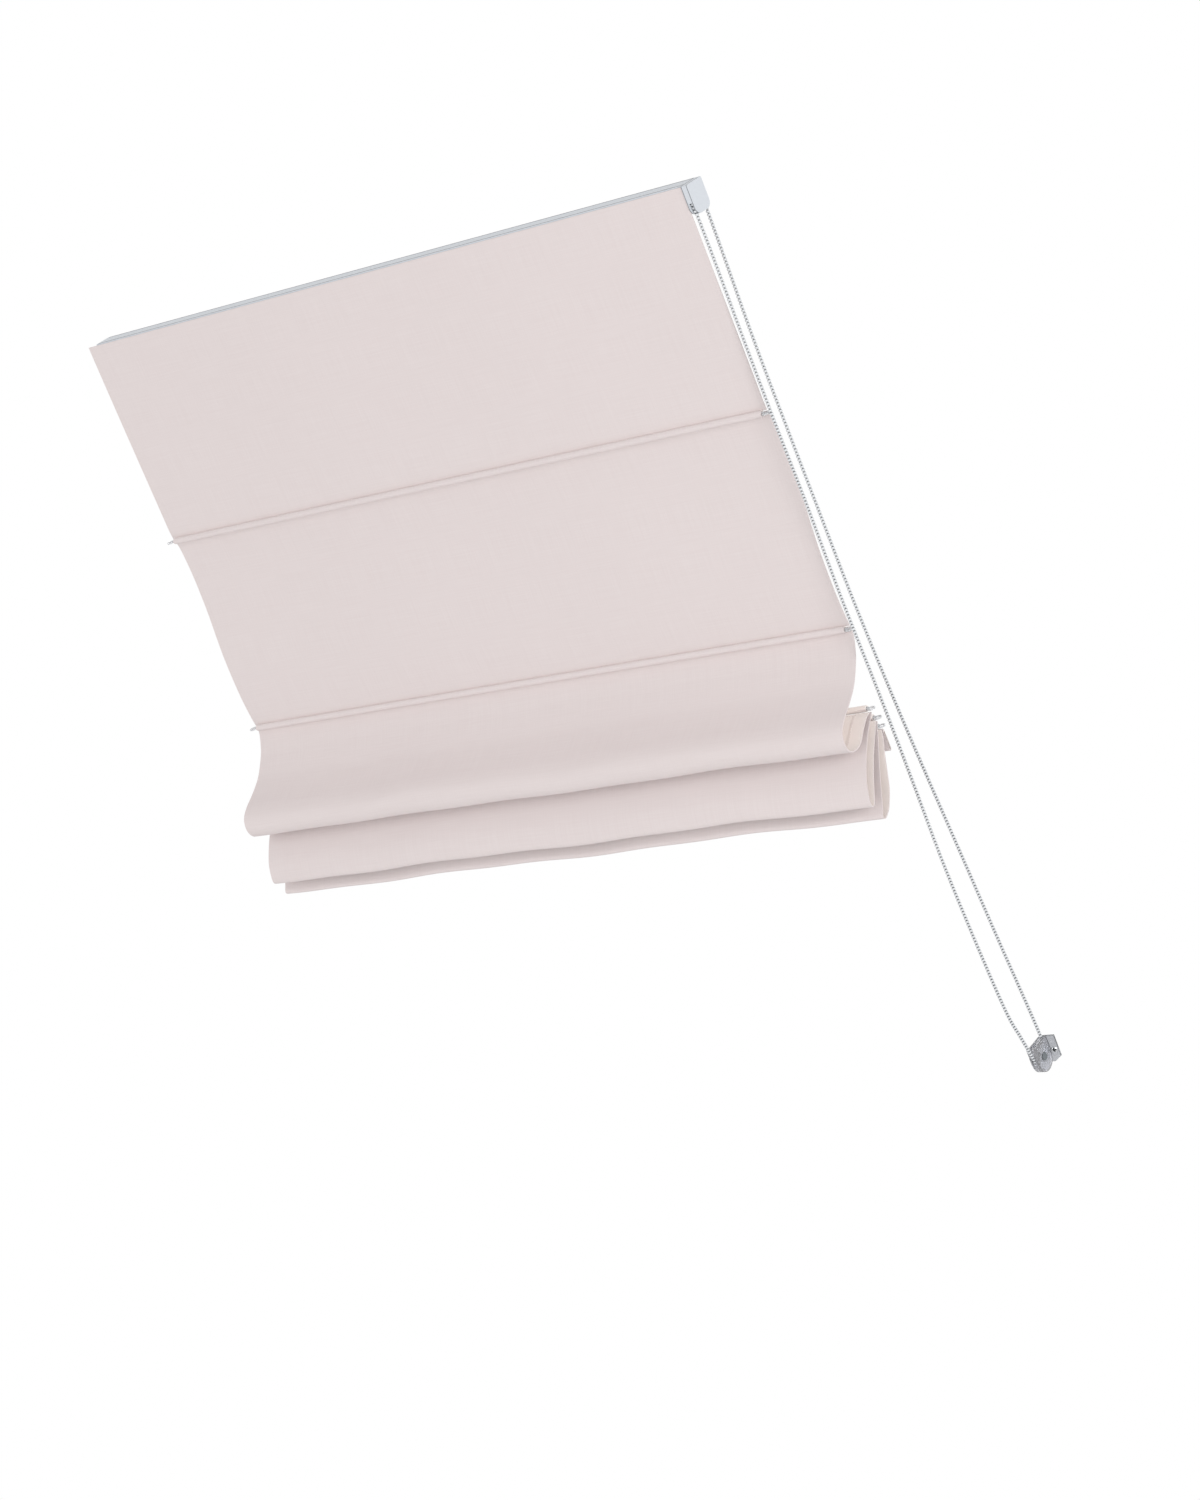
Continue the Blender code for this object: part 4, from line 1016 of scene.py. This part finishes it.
def screw_head():
    """Dome h(r) = H (1 - 0.8 (r / R)^2.4), less a recess where |u| or |v| is under its half width.
    Also which of its faces lie in the recess."""
    low, high = span("tensioner_screw")
    centre = (low + high) / 2
    radius = (high[0] - low[0]) / 2
    seat = WALL_DEPTH - FLANGE_WALL
    r = np.concatenate([np.linspace(0.02, 0.96, 30), [0.985, 1.0]])[:, None] * radius
    angle = np.linspace(0, 2 * math.pi, SCREW_SIDES, endpoint=False)
    u, v = r * np.cos(angle), r * np.sin(angle)
    near, far = np.sort(np.abs([u, v]), 0)
    sunk = within(near, RECESS_HALF) * within(far, RECESS_REACH)
    height = (seat - low[1]) * (1 - 0.8 * (r / radius) ** 2.4)
    grid = [np.stack([centre[0] + u, seat - height + RECESS_DEEP * sunk, centre[2] + v], -1)]
    for width, depth in ((radius, seat), (radius / 2, seat), (radius / 2, high[1])):
        grid.append(np.insert(circle(angle, width, centre[[0, 2]]), 1, depth, -1)[None])
    grid = np.concatenate(grid)
    faces, _ = capped(len(grid), SCREW_SIDES)
    made = piece("tensioner_screw_head", to_world(grid), faces, bodies[0], soft_angle=40)
    deep = np.append(sunk, np.zeros(3 * SCREW_SIDES))[faces[0]].min(1) > RECESS_SHARE
    return made, np.append(deep, True)


screw, recess = screw_head()
dress(screw, "tensioner_screw", "steel")
print("screw's recess has", recess.sum(), "faces")

# %% [markdown]
# ## Hard finishes
# Each finish starts from its stuff and how it was made: powder-coated aluminium, moulded ABS and
# nylon, clear polycarbonate, plated steel, extruded aluminium, drawn glass fibre and hook tape.
# The grain scales are real: 0.8 mm for the coat's orange peel, 0.4 mm for moulded grain.

# %% Grained finishes
def grained(name, dark, light, grain=0.0004, deep=0.00002, stretch=(1, 1, 1), **sockets):
    """Finish whose tint and height follow one noise, fine as moulded grain by default."""
    material, tree = finish(name, **sockets)
    speckle = blotches(tree, turned(tree, on_slope(tree), Scale=stretch), 1 / grain, 2.0)
    feed(tree, Base_Color=mixed(tree, speckle, dark, light),
         Normal=relief(tree, speckle, 0.5, deep))
    return material


def painted_shade_lines(material, axis, places, half, side, level):
    """Thin grey lines of painted shade along lips and joints: near each place along one axis of the
    slope, beyond a level along another."""
    tree = material.node_tree
    plain = tree.nodes[SHADER].inputs["Base Color"].links[0].from_socket
    place = split(tree, on_slope(tree))
    lines = []
    for middle_line in places:
        away = maths(tree, "ABSOLUTE", maths(tree, "SUBTRACT", place[axis], middle_line))
        lines.append(ramp(tree, away, half, half / 2))
    beyond = maths(tree, "GREATER_THAN", place[side], level)
    share = maths(tree, "MULTIPLY", maths(tree, "MAXIMUM", *lines), beyond)
    feed(tree, Base_Color=mixed(tree, share, plain, "#85888E"))
    return material


def clear_polycarbonate():
    """Moulded clear polycarbonate with a grey cast, a little scuffed. The flange is the thickest
    wall and lies on the lining, so it looks greyer than the cheeks."""
    material, tree = finish("moulded_clear_polycarbonate", IOR=1.585, Transmission_Weight=0.85,
                            Roughness=0.1)
    place = on_slope(tree)
    thick = ramp(tree, split(tree, place)["Y"], -2 * FLANGE_WALL, -FLANGE_WALL)
    feed(tree, Base_Color=mixed(tree, thick, "#F1F1F5", "#C2C4C9"),
         Roughness=ramp(tree, blotches(tree, place, 250.0, 3.0), 0, 1, 0.03, 0.09))
    return material


LIPS = (0.0046 - WALL_DEPTH, 0.0240 - WALL_DEPTH)
LIP_HALF = 0.0019
LIP_LEVEL = RAIL_MIDDLE - span("headrail")[0][2] - 0.0004
JOINTS = (0.4258, 0.4321)
JOINT_HALF = 0.0006
PLATED = (0.0012, 0.00001)
COAT = grained("powder_coated_aluminium", "#D3D8DF", "#DFE4EA", 0.0008, 0.00003, Roughness=0.38)
COVER = grained("moulded_abs_cover", "#CCD1D7", "#D6DAE0", Roughness=0.42)
FINISHES = {
    # painted shade lines along the rail's two top lips and along the cover's joint and outer edge
    "coat": painted_shade_lines(COAT, "Y", LIPS, LIP_HALF, "Z", LIP_LEVEL),
    "cover": painted_shade_lines(COVER, "X", JOINTS, JOINT_HALF, "X", JOINTS[0] - 2 * JOINT_HALF),
    "abs": grained("moulded_abs", "#D5DADF", "#DFE3E8", Roughness=0.42),
    "nylon": grained("moulded_dark_nylon", "#2E3235", "#3E4347", Roughness=0.5),
    "zinc": grained("zinc_plated_steel", "#B9BCBE", "#CFD2D4", *PLATED, Metallic=1.0,
                    Roughness=0.34),
    "mill": grained("extruded_mill_aluminium", "#B9BBBD", "#CDCFD1", 0.0006, 0.00001,
                    (0.02, 1, 1), Metallic=1.0, Roughness=0.32),
    "fibre": grained("pultruded_glass_fibre", "#DCDCD4", "#F0F0EA", 0.0005, 0.00002,
                     (0.03, 1, 1), Roughness=0.5),
    "hooks": grained("woven_hook_tape", "#D2D2CF", "#F0F0EE", 0.0009, 0.0003, Roughness=0.9),
    "clear": clear_polycarbonate(),
    "ring": grained("milky_nylon", "#E2E3E6", "#F0F1F3", Roughness=0.3,
                    Transmission_Weight=0.35),
    "pin": grained("moulded_grey_nylon", "#666C70", "#777D81", Roughness=0.5),
    "bright": grained("bright_zinc_plate", "#DDE0E2", "#ECEEF0", *PLATED, Metallic=1.0,
                      Roughness=0.22),
    # dark painted shade for the screw head's cross recess
    "painted_recess_shade": grained("steel_painted_recess_shade", "#26282C", "#34363B", 0.0004, 0.00001, Roughness=0.6),
}
print(sorted(FINISHES))

# %% Which piece has which finish
WEARS = {
    "coat": ["headrail"],
    "cover": ["drive_cover"],
    "abs": ["end_cap_left", "drive_housing", "spool_cradle_left", "spool_cradle_right",
            "spool_left", "spool_right", "tensioner_pulley", "cord_lock_left", "cord_lock_right"],
    "nylon": ["chain_wheel"],
    "pin": ["tensioner_pin"],
    "zinc": ["bracket_left", "bracket_centre", "bracket_right", "drive_shaft", "clutch_spring"],
    "mill": ["bottom_bar"],
    "fibre": [f"rod_{number}" for number in range(1, 6)],
    "hooks": ["hook_strip"],
    "ring": [f"end_ring_{number}_{side}" for number in range(1, 6) for side in SIDES],
}
for stuff, nodes in WEARS.items():
    for node in nodes:
        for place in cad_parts[node].material_slots:
            place.material = FINISHES[stuff]
for made in eyelets:
    paint(made, FINISHES["abs"])
# The faces in the screw head's recess get the dark painted shade.
paint(screw, FINISHES["bright"], FINISHES["painted_recess_shade"], second=recess)
paint(tensioner, FINISHES["clear"])
print("nodes with a finish", sum(len(nodes) for nodes in WEARS.values()))

# %% [markdown]
# ## Floor, lamps and white room
# A plain floor lies well under the blind, and the room is white. Wide lamps give soft light, the
# main one from the right and weaker ones from the left and behind, so that folds and seams read.

# %% Floor
FLOOR_HEIGHT = -3.00
FLOOR_HALF = 6.0

reaches = (-FLOOR_HALF, FLOOR_HALF)
floor = placed("floor", bpy.data.meshes.new("floor"))
floor.data.from_pydata([(x, y, FLOOR_HEIGHT) for x in reaches for y in reaches], [], [(0, 2, 3, 1)])
paint(floor, finish("matt_floor_paint", Base_Color=colour("#F2F2F2"), Roughness=0.9)[0])
print("floor at", FLOOR_HEIGHT)

# %% Lamps and world
LAMPS = [
    ("key", (3.9, -1.9, -0.8), 2.2, 82.0),
    ("fill", (-2.0, -3.1, -1.5), 2.4, 30.0),
    ("back", (0.5, 2.6, 1.8), 2.0, 20.0),
]
AMBIENT = 0.62
TARGET = Vector((0, 0.2, -0.3))


def white_room(tree):
    """Full white to the camera, in mirrors and through glass, and soft light elsewhere."""
    ray = add_node(tree, "LightPath", {})
    shown = maths(tree, "MAXIMUM", ray["Is Camera Ray"], ray["Is Glossy Ray"])
    shown = maths(tree, "MAXIMUM", shown, ray["Is Transmission Ray"])
    strength = add_node(tree, "Mix", {0: shown, 2: AMBIENT, 3: 1.0}, data_type="FLOAT")
    shade = {"Color": (1, 1, 1, 1), "Strength": strength[0]}
    light = add_node(tree, "Background", shade)[0]
    tree.links.new(light, tree.nodes["World Output"].inputs["Surface"])


for name, place, size, power in LAMPS:
    light = placed(name, bpy.data.lights.new(name, "AREA"))
    light.data.size = size
    light.data.energy = power
    light.location = place
    light.rotation_euler = (TARGET - Vector(place)).to_track_quat("-Z", "Y").to_euler()
world = bpy.data.worlds.new("white_room")
world.use_nodes = True
white_room(world.node_tree)
bpy.context.scene.world = world
bpy.context.scene.view_settings.view_transform = "Standard"
print("lamps", len(LAMPS))
